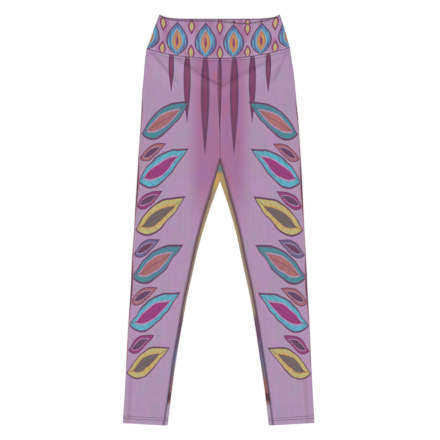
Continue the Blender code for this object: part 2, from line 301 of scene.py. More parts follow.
HEM_RISE = Fade(-3 * HEM_DEPTH, 2 * HEM_DEPTH)  # a leg's rise to its full height at the hem
HEM_SINGLE = Fade(HEM_DEPTH - 1.5, 3.0)  # single cloth above the hem's turned-up allowance
CREASE_OUTER, CREASE_INNER = Fade(3.0, 8.0), Fade(6.0, 12.0)  # fine creases, from the folds
CREASE_HEM, CREASE_BAND = Fade(0.0, 12.0), Fade(0.0, 9.0)  # from the hem and the waistband
CREASE_SIDE = Fade(0.0, 20.0)  # the waistband's own, from its sides
RELIEF_HEM, RELIEF_EDGE = Fade(0.0, 1.2), Fade(0.0, 2.0)  # seams, from the hem and band's edges
ROLL_FOLD = Fade(0.0, 5.0)  # the hem's rolled edge, from the outer fold
SIDE_RISE, EDGE_RISE = Fade(0.0, 14.0), Fade(0.0, 5.0)  # the band's height and wall at its sides
FACING_LEVEL = Fade(0.0, 2.5)  # the facing, from the upper edge that it turns down into

# ---------------------------------------------------------------- how finely the cloth is divided
# distances from a seam, from the inseam in its strip, from a waistband piece's edges, from the
# waistband's seam and from the hem, at which the first columns or rows lie
BESIDE_SEAM = np.array([0, 0.3, 0.7, 1.2, 1.8, 2.6, 3.6, 5.0, 7.0])
STRIP_NEAR = BESIDE_SEAM[BESIDE_SEAM < 4]
BESIDE_EDGE = np.array([0, 0.12, 0.35, 0.7, 1.1, 1.6, 2.4, 3.6])
BELOW_BAND = np.array([0, 0.3, 0.7, 1.2, 1.8, 2.6, 3.5, 4.3, 4.9, 5.3, 5.6, 5.9, 6.3, 7.0, 8.4])
ABOVE_HEM = np.array(
    [21, 19.3, 18.2, 17.7, 17.4, 17.2, 17.0, 16.7, 16.1, 15, 13.5, 12.6, 12.1, 11.8, 11.6]
    + [11.4, 11.1, 10.5, 9.0, 7.0, 5.0, 3.4, 2.1, 1.3, 0.8, 0.45, 0.2, 0.0]
)
STRIP_FULL = 6.0  # in a strip narrower than this the columns stand closer together
STRIP_LEAST = 1.0  # stands in for the strip's width above the gusset's end
# steps across a leg's front, back, strip and folds; down a leg, as (end, size); across the
# waistband and up it; along the gusset, and down its front and its back
FRONT_STEPS = 88
BACK_STEPS = 26
STRIP_STEPS = 3
FOLD_STEPS = 9
LEG_STEPS = ((186.0, 1.7), (GUSSET_END, 4.2), (820.0, 5.2), (HEM_LEVEL_INNER - ABOVE_HEM[0], 3.4))
BAND_STEPS = 84
BAND_ROWS = 26
GUSSET_STEPS = 64
GUSSET_FRONT_STEPS = 20
GUSSET_BACK_STEPS = 10
FOLD_ARC = np.linspace(np.pi / 2, -np.pi / 2, FOLD_STEPS + 1)[1:-1]  # from its top to its bottom
SHARP_ANGLE = 60  # degrees


# ---------------------------------------------------------------- what a user would change
def length_property(name, description, default):
    """A length setting in metres."""
    return bpy.props.FloatProperty(
        name=name, description=description, default=default, unit="LENGTH"
    )


class LeggingsCloth(bpy.types.PropertyGroup):
    """Thickness of the cloth, and how deep its seams and creases are."""

    wall: length_property("Knit", "Thickness of one layer of knit", 0.0010)
    hem_wall: length_property("Hem", "Thickness of the turned-up hem", 0.0018)
    band_wall: length_property("Waistband", "Thickness of the doubled band", 0.0024)
    seam_depth: length_property("Seam", "Depth of the groove at a seam", 0.00055)
    welt: length_property("Welt", "Height of the cloth over a seam's allowance", 0.00034)
    stitch_groove: length_property(
        "Stitch groove", "Depth of the groove that a row of stitches pulls", 0.00042
    )
    crease: bpy.props.FloatProperty(
        name="Creases", description="How strong the fine creases are", default=1.0, subtype="FACTOR"
    )


INK = np.array([0.86, 0.87, 0.83])  # what a colour is multiplied by to look right in this light


def srgb(red, green, blue, share=1.0):
    """A colour from its 0 to 255 screen values, as the linear values that a shader reads, times
    a share."""
    value = np.array([red, green, blue]) / 255
    linear = np.where(value <= 0.04045, value / 12.92, ((value + 0.055) / 1.055) ** 2.4)
    return tuple(float(v) for v in linear * share)


def colour_property(name, description, red, green, blue, share=INK):
    """A colour setting with its default given in screen values."""
    return bpy.props.FloatVectorProperty(
        name=name,
        description=description,
        default=srgb(red, green, blue, share),
        subtype="COLOR",
        min=0.0,
        max=1.0,
    )


class LeggingsPrint(bpy.types.PropertyGroup):
    """Inks of the leaf print, and its scale."""

    lilac: colour_property("Lilac", "The ground's main ink", 177, 146, 179)
    violet: colour_property("Violet", "The ground's cooler patches", 181, 143, 187)
    mist: colour_property("Mist", "The ground's greyer patches", 170, 149, 178)
    orchid: colour_property("Orchid", "The ground down the centre front", 168, 112, 154)
    rose: colour_property("Rose", "Warmer patches of the centre front", 173, 107, 147)
    mauve: colour_property("Mauve", "Cooler patches of the centre front", 164, 112, 164)
    plum: colour_property("Plum", "Stems and outlines", 102, 60, 94)
    wine: colour_property("Wine", "Hearts of the hanging leaves", 134, 58, 100)
    magenta: colour_property("Magenta", "Hearts of the aqua leaves", 156, 52, 124)
    aqua: colour_property("Aqua", "First colour of the big leaves", 96, 178, 208)
    teal: colour_property("Teal", "Second colour of the big leaves", 70, 140, 152)
    lime: colour_property("Lime", "Third colour of the big leaves", 188, 182, 124)
    smoke: colour_property("Smoke", "Hearts of the lime leaves", 110, 98, 97)
    salmon: colour_property("Salmon", "Hearts of the teal leaves", 172, 106, 112)
    slate: colour_property("Slate", "Blue of the waistband's leaves", 96, 106, 152)
    gold: colour_property("Gold", "Hearts of the waistband's leaves", 202, 158, 92)
    ochre: colour_property("Ochre", "The gusset and the inseam", 178, 149, 104)
    taupe: colour_property("Taupe", "The inseam beside the knee", 160, 137, 120)
    leaf_period: length_property("Leaf spacing", "Between two big leaves", 0.112)
    leaf_reach: length_property("Leaf reach", "Length of a big leaf across", 0.116)
    leaf_width: length_property("Leaf half width", "Half width of a big leaf", 0.034)
    band_period: length_property("Band spacing", "Between two band leaves", 0.066)


class LeggingsThread(bpy.types.PropertyGroup):
    """The threads of the hems and of the row below the waistband."""

    colour: colour_property("Thread", "Sewing thread", 80, 52, 86)
    pitch: length_property("Pitch", "From one stitch to the next", 0.0032)
    length: length_property("Stitch", "Length of a stitch", 0.0029)
    width: length_property("Thickness", "Width of the thread", 0.0010)


class LeggingsStage(bpy.types.PropertyGroup):
    """Floor, light and camera."""

    floor_colour: colour_property("Floor", "Pale studio floor", 247, 247, 248, 1.0)
    floor_size: length_property("Floor size", "Side of the square floor", 14.0)
    key_strength: bpy.props.FloatProperty(
        name="Key light", description="Strength of the one soft lamp", default=2.6
    )
    key_spread: bpy.props.FloatProperty(
        name="Key softness", description="Angle the lamp fills", default=0.5, unit="ROTATION"
    )
    ambient: bpy.props.FloatProperty(
        name="Ambient", description="Strength of the white surroundings", default=0.48
    )
    lens: bpy.props.FloatProperty(
        name="Lens", description="Focal length", default=85.0, unit="CAMERA"
    )
    view_width: length_property("View", "Width of the frame on the floor", 1.028)
    roll: bpy.props.FloatProperty(
        name="Roll", description="Turn of the camera", default=0.0043, unit="ROTATION"
    )


SETTINGS = {
    "leggings_cloth": LeggingsCloth,
    "leggings_print": LeggingsPrint,
    "leggings_thread": LeggingsThread,
    "leggings_stage": LeggingsStage,
}


# ---------------------------------------------------------------- curves and heights
def smooth_curve(levels, values, at):
    """Read a smooth curve through (level, value): cubic pieces whose slope at each level is the
    slope of the parabola through it and its neighbours."""
    levels, values = np.asarray(levels, float), np.asarray(values, float)
    slopes = np.gradient(values, levels)
    at = np.clip(at, levels[0], levels[-1])
    i = np.clip(np.searchsorted(levels, at) - 1, 0, len(levels) - 2)
    step = levels[i + 1] - levels[i]
    t = (at - levels[i]) / step
    start = (1 + 2 * t) * (1 - t) ** 2 * values[i] + t * (1 - t) ** 2 * step * slopes[i]
    end = t**2 * (3 - 2 * t) * values[i + 1] - t**2 * (1 - t) * step * slopes[i + 1]
    return start + end


def read(table, field, level):
    """A smooth curve through one field of a table's rows, read at a level."""
    return smooth_curve([row.level for row in table], [getattr(row, field) for row in table], level)


def half_width(level):
    """From the centre line to the outer fold."""
    return read(WIDTHS, "half", level)


def half_gap(level):
    """From the centre line to a leg's inner fold, 0 above the crotch."""
    return np.where(np.asarray(level) > CROTCH, read(GAPS, "half", level), 0.0)


def strip_width(level, side):
    """The back cloth that shows in front between the inner fold and the inseam of a side's leg."""
    left, right = read(GAPS, "strip_left", level), read(GAPS, "strip_right", level)
    return np.where(np.asarray(side) > 0, left, right)


def between(start, end, t):
    """The value a share t of the way from start to end."""
    return start + (end - start) * t


def ease(t):
    """0 below 0, 1 above 1, and a smooth step from one to the other."""
    t = np.clip(t, 0.0, 1.0)
    return t * t * (3 - 2 * t)


def bell(distance, width):
    """1 at distance 0, falling off as a Gaussian of that width."""
    return np.exp(-((distance / width) ** 2))


def past_gusset(level, point, corner, below):
    """x of a seam: the centre line down to the gusset's point, straight out to the corner at its
    end, then the line below."""
    share = np.clip((level - point) / (GUSSET_END - point), 0, 1)
    return np.where(level < GUSSET_END, corner * share, below)


def front_seam(level, side):
    """x of the front edge of a side's leg: the centre seam, the gusset's front seam, then the
    inseam."""
    corner = half_gap(GUSSET_END) + strip_width(GUSSET_END, side)
    return past_gusset(level, GUSSET_FRONT, corner, half_gap(level) + strip_width(level, side))


def back_seam(level):
    """x where a leg's back cloth ends: the centre seam, the gusset's back seam, then a line just
    short of the inner fold, from which the cloth goes on round to the front."""
    corner = half_gap(GUSSET_END) + GUSSET_BACK_STRIP
    return past_gusset(level, GUSSET_BACK, corner, half_gap(level) + GUSSET_BACK_STRIP)


def seam_level(share):
    """Level of the band's lower seam at a share of the half width: a flat arch."""
    return SEAM_LEVEL - SEAM_RISE * np.abs(share) ** SEAM_POWER


def hem_level(share):
    """Level of the hem at a share of the way from the inner to the outer fold."""
    return between(HEM_LEVEL_INNER, HEM_LEVEL_OUTER, share)


def back_top_level(share):
    """Level of the upper edge of the band's back: level, turning up to the corners."""
    return BACK_TOP * (1 - np.abs(share) ** TOP_POWER)


def front_top_level(share):
    """Level of the upper edge of the band's front, which hangs a little on one side."""
    x = share * WIDTHS[0].half
    sag = FRONT_SAG * bell(x - FRONT_SAG_AT, FRONT_SAG_WIDTH)
    return (FRONT_TOP + sag) * (1 - np.abs(share) ** TOP_POWER)


def crease_height(creases, x, level):
    """Sum of the creases: each is a bell across its line, which dies away past both its ends."""
    total = np.zeros(np.broadcast(x, level).shape)
    for crease in creases:
        along = np.array([crease.x1 - crease.x0, crease.level1 - crease.level0])
        length = np.hypot(*along)
        along = along / length
        right, down = x - crease.x0, level - crease.level0
        run = right * along[0] + down * along[1]
        off = (down * along[0] - right * along[1]) * (1 if along[0] >= 0 else -1)
        past = np.maximum(np.maximum(-run, run - length), 0.0)
        width = np.where(off < 0, crease.steep or crease.width, crease.width)
        total = total + crease.height * bell(off, width) * bell(past, crease.width)
    return total


def laid(x, level):
    """Where an even place comes to lie: x and level moved by the lays. Their values are read at
    the level and straight between the folds sideways, and on a parabola across downwards."""
    pushes = [read(LAYS, field, level) for field in Lay._fields[1:]]
    outer_right, inner_right, inner_left, outer_left, down_right, down_middle, down_left = pushes
    outward = (np.abs(x) - half_gap(level)) / (half_width(level) - half_gap(level))
    side = ease(x / LAY_TURN + 0.5)
    inner, outer = between(inner_right, inner_left, side), between(outer_right, outer_left, side)
    share = x / half_width(level)
    bow = (down_right + down_left) / 2 - down_middle
    down = down_middle + (down_left - down_right) / 2 * share + bow * share**2
    return x + between(inner, outer, np.clip(outward, 0, 1)), level + down


def upper_height(x, level):
    """Top of the upper layer. It is two fold radii high at the folds and at the hem, settles onto
    the lower layer away from them, and rises to the waistband."""
    to_outer = half_width(level) - np.abs(x)
    to_inner = np.hypot(
        np.maximum(np.abs(x) - half_gap(level), 0.0), np.maximum(CROTCH - level, 0.0)
    )
    settled = Fade(FOLD_RADIUS, SETTLE).at(np.minimum(to_outer, to_inner))
    share = np.clip(np.abs(x) / half_width(level), 0, 1)
    lift = 1 - ease((level - seam_level(share)) / LIFT_LENGTH)
    flat = between(LAID_HEIGHT, LIFT_HEIGHT, lift)
    flat = between(flat, 2 * FOLD_RADIUS, HEM_RISE.at(level - hem_level(share)))
    rise = settled * crease_height(FORM_CREASES, x, level)
    return between(2 * FOLD_RADIUS, flat, settled) + rise


def fold_round(turn):
    """How far in from a fold's edge a point at an angle lies, and how high: half a circle."""
    return FOLD_RADIUS * (1 - np.cos(turn)), FOLD_RADIUS * (1 + np.sin(turn))


def spread(width, near, steps):
    """Distances from a seam to the far side of each row's width, (rows, columns): those of near,
    close together beside the seam, then even ones."""
    far = near[..., -1:] + (width - near[..., -1:]) * np.linspace(0, 1, steps + 1)[1:]
    return np.concatenate([np.broadcast_to(near, (len(far), near.shape[-1])), far], axis=1)


def place(x, level, z):
    """Points, still in millimetres, from x, level and z, where the cloth comes to lie."""
    x, level, z = np.broadcast_arrays(x, level, z)
    x, level = laid(x, level)
    return np.stack([x, LENGTH / 2 - level, z], axis=-1)


def run_along(points, axis):
    """Distance along a grid's rows (axis 1) or columns (axis 0), from its first point."""
    step = np.linalg.norm(np.diff(points, axis=axis), axis=-1)
    start = np.zeros_like(np.take(step, [0], axis=axis))
    return np.concatenate([start, np.cumsum(step, axis=axis)], axis=axis)


# ---------------------------------------------------------------- relief of seams and edges
def seam_relief(cloth, distance, welt_at=WELT_AT, welt_width=WELT_WIDTH):
    """Height beside a seam: a tight groove at 0, then a low welt over the allowance."""
    groove = -cloth.seam_depth / MM * bell(distance, GROOVE_WIDTH)
    return groove + cloth.welt / MM * bell(distance - welt_at, welt_width)


def row_relief(cloth, distance):
    """Height across a row of stitches: the groove that its thread pulls, between soft shoulders."""
    shoulders = ROW_SHOULDER * bell(distance, ROW_SHOULDER_WIDTH)
    groove = (1 + ROW_SHOULDER) * bell(distance, ROW_GROOVE_WIDTH)
    return cloth.stitch_groove / MM * (shoulders - groove)


def edge_roll(distance, wall):
    """How far a folded edge has turned away at a distance from it: a half round of the wall."""
    radius = wall / 2
    inside = np.clip(radius - distance, 0.0, radius)
    return (radius - np.sqrt(radius**2 - inside**2)) * ROLL_SHARE


# ---------------------------------------------------------------- meshes
def make_mesh(name, points, faces, fields, uv):
    """A mesh from points in millimetres and an array of quads, with a UV map in metres and any
    number of point attributes."""
    mesh = bpy.data.meshes.new(name)
    mesh.vertices.add(len(points))
    mesh.vertices.foreach_set("co", (points * MM).astype(np.float32).ravel())
    mesh.loops.add(faces.size)
    mesh.loops.foreach_set("vertex_index", faces.astype(np.int32).ravel())
    mesh.polygons.add(len(faces))
    mesh.polygons.foreach_set("loop_start", np.arange(0, faces.size, 4, dtype=np.int32))
    mesh.update(calc_edges=True)
    layer = mesh.uv_layers.new(name="print")
    layer.uv.foreach_set("vector", (uv[faces.ravel()] * MM).astype(np.float32).ravel())
    for label, values in fields.items():
        attribute = mesh.attributes.new(label, "FLOAT", "POINT")
        attribute.data.foreach_set("value", (values * MM).astype(np.float32).ravel())
    mesh.validate()
    mesh.shade_smooth()
    mesh.set_sharp_from_angle(angle=np.radians(SHARP_ANGLE))
    return mesh


def add_object(name, mesh, material):
    """Put a mesh into the scene with its material."""
    mesh.materials.append(material)
    piece = bpy.data.objects.new(name, mesh)
    bpy.context.scene.collection.objects.link(piece)
    return piece


def unit(vectors):
    """Vectors brought to length 1."""
    return vectors / np.linalg.norm(vectors, axis=-1, keepdims=True)


def point_normals(points, faces):
    """Unit normals: the sum of the cross products of the diagonals of the quads round a point."""
    across = points[faces[:, 2]] - points[faces[:, 0]]
    up = points[faces[:, 3]] - points[faces[:, 1]]
    turned = np.cross(across, up)
    normals = np.zeros_like(points)
    for corner in range(4):
        np.add.at(normals, faces[:, corner], turned)
    return unit(normals)


def shell_faces(quads, count):
    """Quads of a closed shell from those of its outer side, whose inner points come count on: the
    inner side turned over, and a rim along each edge that no second quad shares."""
    edges = np.concatenate([quads[:, [i, (i + 1) % 4]] for i in range(4)])
    key = edges[:, 0] * count + edges[:, 1]
    back = edges[:, 1] * count + edges[:, 0]
    rim = edges[~np.isin(key, back)]
    rim = np.stack([rim[:, 1], rim[:, 0], rim[:, 0] + count, rim[:, 1] + count], axis=1)
    return np.concatenate([quads, quads[:, ::-1] + count, rim])


def cloth_shell(name, grid, relief, wall, fields, uv, material, flip=False, missing=None):
    """One piece of cloth as a closed shell round a grid of outer points.

    The outer face is the grid moved by relief along its normals, the inner face is the grid moved
    inwards by wall, and a rim of quads joins them along every open edge. The lower layer lies on
    the floor, so there relief only goes inwards.
    """
    rows, columns = grid.shape[:2]
    index = np.arange(rows * columns).reshape(rows, columns)
    corners = [index[:-1, :-1], index[1:, :-1], index[1:, 1:], index[:-1, 1:]]
    quads = np.stack(corners[::-1] if flip else corners, axis=-1)
    quads = quads.reshape(-1, 4) if missing is None else quads[~missing]
    used, quads = np.unique(quads, return_inverse=True)
    quads = quads.reshape(-1, 4)

    points = grid.reshape(-1, 3)[used]
    normals = point_normals(points, quads)
    relief = np.broadcast_to(relief, (rows, columns)).ravel()[used]
    relief = np.where(normals[:, 2] < FACES_DOWN, np.minimum(relief, 0.0), relief)
    depth = np.broadcast_to(wall, (rows, columns)).ravel()[used]
    outer = points + normals * relief[:, None]
    inner = points - normals * depth[:, None]
    faces = shell_faces(quads, len(points))
    flat_fields = {k: np.tile(v.reshape(-1)[used], 2) for k, v in fields.items()}
    flat_uv = np.tile(uv.reshape(-1, 2)[used], (2, 1))
    mesh = make_mesh(name, np.concatenate([outer, inner]), faces, flat_fields, flat_uv)
    return add_object(name, mesh, material)


def surface_area(points, missing=None):
    """Area of a grid in square metres: half the cross product of each quad's diagonals."""
    across = points[1:, 1:] - points[:-1, :-1]
    down = points[1:, :-1] - points[:-1, 1:]
    area = np.linalg.norm(np.cross(across, down), axis=-1) / 2
    return float((area if missing is None else area[~missing]).sum()) * MM * MM


# ---------------------------------------------------------------- leg panels
class LegGrid(NamedTuple):
    """Outer points of a leg panel, their levels, and the columns where its stretches begin."""

    points: np.ndarray
    level: np.ndarray
    on_centre: np.ndarray
    fold: int
    turned: int


def leg_levels():
    """Levels of a leg's rows on the centre line: close below the band's seam and at the hem, and
    one exactly where the gusset ends."""
    levels = SEAM_LEVEL + BELOW_BAND
    for end, step in LEG_STEPS:
        start = levels[-1]
        levels = np.append(levels, np.linspace(start, end, round((end - start) / step) + 1)[1:])
    return np.append(levels, HEM_LEVEL_INNER - ABOVE_HEM[1:])


def leg_grid(side, on_centre):
    """The outer face of one leg panel, side 1 for the left leg and -1 for the right.

    Each row runs from the front seam out to the outer fold, round it, back along the floor and,
    below the gusset, round the inner fold to the inseam in front. A point's level goes in step
    with its row from the band's seam to the hem, both read at its share of the width.
    """
    on_centre = np.asarray(on_centre, float)[:, None]
    down = (on_centre - SEAM_LEVEL) / (HEM_LEVEL_INNER - SEAM_LEVEL)

    def level_at(share, inset=FOLD_RADIUS):
        """Levels of all rows at a share of the way to the outer fold, which lies inset away."""
        seam_share = share * (1 - inset / SEAM_HALF_WIDTH)
        return between(seam_level(seam_share) + SEAM_GAP / 2, hem_level(share), down)

    width = half_width(on_centre) - FOLD_RADIUS - front_seam(on_centre, side)
    share = spread(width, BESIDE_SEAM, FRONT_STEPS) / width
    front_level = level_at(share)
    start = front_seam(front_level, side) + SEAM_GAP / 2
    x = between(start, half_width(front_level) - FOLD_RADIUS, share)
    front = place(side * x, front_level, upper_height(side * x, front_level))

    inset, height = fold_round(FOLD_ARC)
    outer_level = level_at(np.ones_like(inset), inset)
    outer = place(side * (half_width(outer_level) - inset), outer_level, height)

    width = half_width(on_centre) - FOLD_RADIUS - back_seam(on_centre)
    share = (spread(width, BESIDE_SEAM, BACK_STEPS) / width)[:, ::-1]
    back_level = level_at(share)
    end = back_seam(back_level) + SEAM_GAP / 2
    x = between(end, half_width(back_level) - FOLD_RADIUS, share)
    back = place(side * x, back_level, 0.0)

    inset, height = fold_round(np.concatenate([[-np.pi / 2], FOLD_ARC[::-1], [np.pi / 2]]))
    inner_level = level_at(np.zeros_like(inset))
    inner = place(side * (half_gap(inner_level) + inset), inner_level, height)

    first, last = half_gap(on_centre) + FOLD_RADIUS, front_seam(on_centre, side) - SEAM_GAP / 2
    width = np.maximum(last - first, STRIP_LEAST)
    near = STRIP_NEAR * np.minimum(width / STRIP_FULL, 1)
    share = 1 - spread(width, near, STRIP_STEPS)[:, -2::-1] / width
    strip_level = level_at(np.zeros_like(share))
    start = half_gap(strip_level) + FOLD_RADIUS
    x = between(start, front_seam(strip_level, side) - SEAM_GAP / 2, share)
    strip = place(side * x, strip_level, upper_height(side * x, strip_level))

    points = np.concatenate([front, outer, back, inner, strip], axis=1)
    fold = front.shape[1] + outer.shape[1] // 2
    turned = front.shape[1] + outer.shape[1] + back.shape[1] - 1
    return LegGrid(points, LENGTH / 2 - points[..., 1], on_centre, fold, turned)


class LegDistances(NamedTuple):
    """Distances over a leg panel, in millimetres: from its front seam, its other long seam, the
    waistband's seam, the hem, the nearest row of stitches, the outer fold and the inner fold."""

    front: np.ndarray
    end: np.ndarray
    band: np.ndarray
    hem: np.ndarray
    row: np.ndarray
    outer: np.ndarray
    inner: np.ndarray


def leg_distances(leg, above):
    """Distances over a leg panel, along its rows and down its columns. The rows above the
    gusset's end stop at the back seam, short of the inner fold."""
    front = run_along(leg.points, 1)
    last = np.where(above, front[:, [leg.turned]], front[:, -1:])
    band, hem = leg.level - leg.level[:1], leg.level[-1:] - leg.level
    inner_fold = leg.turned + (FOLD_STEPS + 1) // 2
    return LegDistances(
        front=front,
        end=np.abs(last - front),
        band=band,
        hem=hem,
        row=np.minimum.reduce([np.abs(hem - row) for row in HEM_ROWS] + [np.abs(band - COVER_ROW)]),
        outer=np.abs(front - front[:, [leg.fold]]),
        inner=np.where(above, FAR, np.abs(front - front[:, [inner_fold]])),
    )


def leg_creases(leg, off):
    """Height of a leg's fine creases: those of the upper layer before the outer fold, those of the
    lower layer after it, and none at the folds, the hem, the waistband and the inseam."""
    x, column = leg.points[..., 0], np.arange(leg.level.shape[1])
    upper = crease_height(FINE_CREASES, x, leg.level)
    lower = crease_height(UNDER_CREASES, x, leg.level)
    beside = CREASE_OUTER.at(off.outer) * CREASE_INNER.at(off.inner) * (column < leg.turned)
    ends = CREASE_HEM.at(off.hem) * CREASE_BAND.at(off.band)
    return np.where(column < leg.fold, upper, lower) * beside * ends


def leg_panel(side, name, cloth, material):
    """One leg panel with its seams, hem, stitch grooves and fine creases."""
    leg = leg_grid(side, leg_levels())
    above = leg.on_centre < GUSSET_END
    off = leg_distances(leg, above)
    missing = above[:-1] & (np.arange(leg.level.shape[1] - 1) >= leg.turned)

    relief = seam_relief(cloth, off.front) + seam_relief(cloth, off.end)
    relief += seam_relief(cloth, off.band, BAND_WELT_AT, BAND_WELT_WIDTH)
    relief += row_relief(cloth, off.band - COVER_ROW)
    for row in HEM_ROWS:
        relief += row_relief(cloth, off.hem - row)
    leg.points[..., 2] += cloth.crease * leg_creases(leg, off)

    hem_wall = cloth.hem_wall / MM
    roll = edge_roll(off.hem, hem_wall) * between(ROLL_AT_FOLD, 1, ROLL_FOLD.at(off.outer))
    relief = relief * RELIEF_HEM.at(off.hem) - roll
    wall = between(hem_wall, cloth.wall / MM, HEM_SINGLE.at(off.hem)) - roll

    from_inseam = np.where(above, FAR, off.end)
    to_gusset = np.hypot(off.front, np.maximum(GUSSET_FRONT - leg.level, 0.0))
    fields = {
        "from_seam": np.minimum.reduce([off.front, off.end, off.band]),
        "from_inseam": from_inseam,
        "from_gusset": np.minimum(to_gusset, from_inseam),
        "from_row": off.row,
        "from_fold": np.minimum(off.outer, off.inner),
    }
    uv = np.stack([off.front[:, [leg.fold]] - off.front, leg.level], axis=-1)
    piece = cloth_shell(
        name, leg.points, relief, wall, fields, uv, material, flip=side < 0, missing=missing
    )
    return piece, surface_area(leg.points, missing)


# ---------------------------------------------------------------- gusset
def gusset_piece(cloth, material):
    """The kite over the crotch. Each column runs from the front seam down to the inner fold, round
    it and up to the back seam. The fold turns from straight down on the centre line to straight
    sideways at the blunt ends, where the legs' own inner folds go on."""
    even = np.linspace(-1, 1, GUSSET_STEPS + 1)
    across = between(even, np.sin(even * np.pi / 2), GUSSET_BUNCHING)[:, None]
    side, reach = np.sign(across), np.abs(across)
    end = GUSSET_END - SEAM_GAP

    front_level = between(GUSSET_FRONT + SEAM_GAP, end, reach)
    front_x = np.maximum(front_seam(front_level, side) - SEAM_GAP / 2, 0.0) * (reach > 0)
    tip_level = between(CROTCH, end, reach)
    tip_x = half_gap(tip_level)
    back_level = between(GUSSET_BACK + SEAM_GAP, end, reach)
    back_x = np.maximum(back_seam(back_level) - SEAM_GAP / 2, 0.0) * (reach > 0)

    heading = np.pi / 2 * (1 - reach) ** 2
    in_x, in_level = np.cos(heading) * (reach > 0), -np.sin(heading)

    share = np.linspace(0, 1, GUSSET_FRONT_STEPS + 1)[None, :] ** GUSSET_FRONT_POWER
    x = side * between(front_x, tip_x + FOLD_RADIUS * in_x, share)
    level = between(front_level, tip_level + FOLD_RADIUS * in_level, share)
    front = place(x, level, upper_height(x, level))

    inset, height = fold_round(FOLD_ARC)
    fold = place(side * (tip_x + in_x * inset), tip_level + in_level * inset, height)

    share = 1 - np.linspace(1, 0, GUSSET_BACK_STEPS + 1)[None, :] ** GUSSET_BACK_POWER
    x = side * between(tip_x + FOLD_RADIUS * in_x, back_x, share)
    level = between(tip_level + FOLD_RADIUS * in_level, back_level, share)
    back = place(x, level, 0.0)

    points = np.concatenate([front, fold, back], axis=1)
    down = run_along(points, 1)
    sideways = run_along(points, 0)
    from_sides = np.minimum(down, down[:, -1:] - down)
    from_ends = np.minimum(sideways, sideways[-1:] - sideways)
    from_seam = np.minimum(from_sides, from_ends)
    from_fold = np.abs(down - down[:, [front.shape[1] + fold.shape[1] // 2]])
    fields = {"from_seam": from_seam, "from_gusset": from_sides, "from_fold": from_fold}
    relief, wall = seam_relief(cloth, from_seam), cloth.wall / MM
    uv = np.stack([points[..., 0], LENGTH / 2 - points[..., 1]], axis=-1)
    piece = cloth_shell("gusset_cloth", points, relief, wall, fields, uv, material, flip=True)
    return piece, surface_area(points)


# ---------------------------------------------------------------- waistband
class BandGrid(NamedTuple):
    """Places on a waistband piece, and how far they are from its lower seam, its upper edge and
    the nearer side."""

    x: np.ndarray
    level: np.ndarray
    from_seam: np.ndarray
    from_top: np.ndarray
    to_side: np.ndarray


def band_grid(top, margin=0.0, top_margin=0.0):
    """A waistband piece from one side seam to the other: rows run up from the lower seam to the
    upper edge, whose level top gives, and columns stand close together at both sides."""
    reach = SEAM_HALF_WIDTH - margin
    half = reach - spread(np.array([[reach]]), BESIDE_EDGE, BAND_STEPS)[0]
    across = np.concatenate([-half, half[-2::-1]])[None, :] / SEAM_HALF_WIDTH
    low = seam_level(across) - SEAM_GAP / 2
    high = top(across) + top_margin
    height = np.median(low - high)
    middle = np.linspace(BESIDE_SEAM[-1], height - BESIDE_EDGE[-1], BAND_ROWS + 1)
    up = np.concatenate([BESIDE_SEAM[:-1], middle, height - BESIDE_EDGE[-2::-1]]) / height
    level = between(low, high, up[:, None])
    x = across * half_width(level)
    return BandGrid(x, level, low - level, level - high, half_width(level) - np.abs(x))


def band_shell(name, band, z, relief, wall, roll, material, flip):
    """A waistband piece as a shell with its top at z, whose edges turn away by roll. Its UV map
    has x across, and runs down from 0 at the upper edge."""
    height = band.from_seam + band.from_top
    down = band.from_top / height * np.median(height)
    fields = {"from_seam": band.from_seam, "from_fold": np.minimum(band.from_top, band.to_side)}
    uv = np.stack([band.x, down], axis=-1)
    points = place(band.x, band.level, z)
    piece = cloth_shell(name, points, relief - roll, wall - roll, fields, uv, material, flip=flip)
    return piece, surface_area(points)


def waistband_front(cloth, material):
    """The doubled front of the band: level, coming down onto the back's edges at the sides, its
    upper edge and its sides rolled to a half round."""
    band = band_grid(front_top_level)
    z = between(BAND_SIDE_HEIGHT, BAND_HEIGHT, SIDE_RISE.at(band.to_side))
    z = between(BAND_EDGE_HEIGHT, z, EDGE_RISE.at(band.to_side))
    z = z + crease_height(BAND_CREASES, band.x, band.level) * CREASE_SIDE.at(band.to_side)
    thick = cloth.band_wall / MM
    thin = between(thick - BAND_EDGE_THINNING, thick, EDGE_RISE.at(band.to_side))
    fade = RELIEF_EDGE.at(band.to_side) * RELIEF_EDGE.at(band.from_top)
    relief = seam_relief(cloth, band.from_seam) * fade
    roll = np.maximum(edge_roll(band.from_top, thick), edge_roll(band.to_side, thin))
    return band_shell("band_front", band, z, relief, thin, roll, material, flip=True)


def waistband_back(material):
    """The outer cloth of the band's back, flat on the floor, with its edges turned in."""
    band = band_grid(back_top_level)
    groove = -BACK_GROOVE_DEPTH * bell(band.from_seam, BACK_GROOVE_WIDTH)
    relief = groove * RELIEF_EDGE.at(band.to_side)
    roll = edge_roll(np.minimum(band.from_top, band.to_side), BACK_WALL)
    return band_shell("band_back", band, 0.0, relief, BACK_WALL, roll, material, flip=False)


def waistband_facing(material):
    """The inner cloth of the band's back, which lies on the outer one and turns down into its
    upper edge."""
    band = band_grid(back_top_level, FACING_SIDE_MARGIN, FACING_TOP_MARGIN)
    gap = between(TURNED_GAP, LAYER_GAP, FACING_LEVEL.at(band.from_top))
    roll = edge_roll(band.from_top, BACK_WALL)
    z = 2 * BACK_WALL + gap
    return band_shell("band_facing", band, z, 0.0, BACK_WALL, roll, material, flip=True)


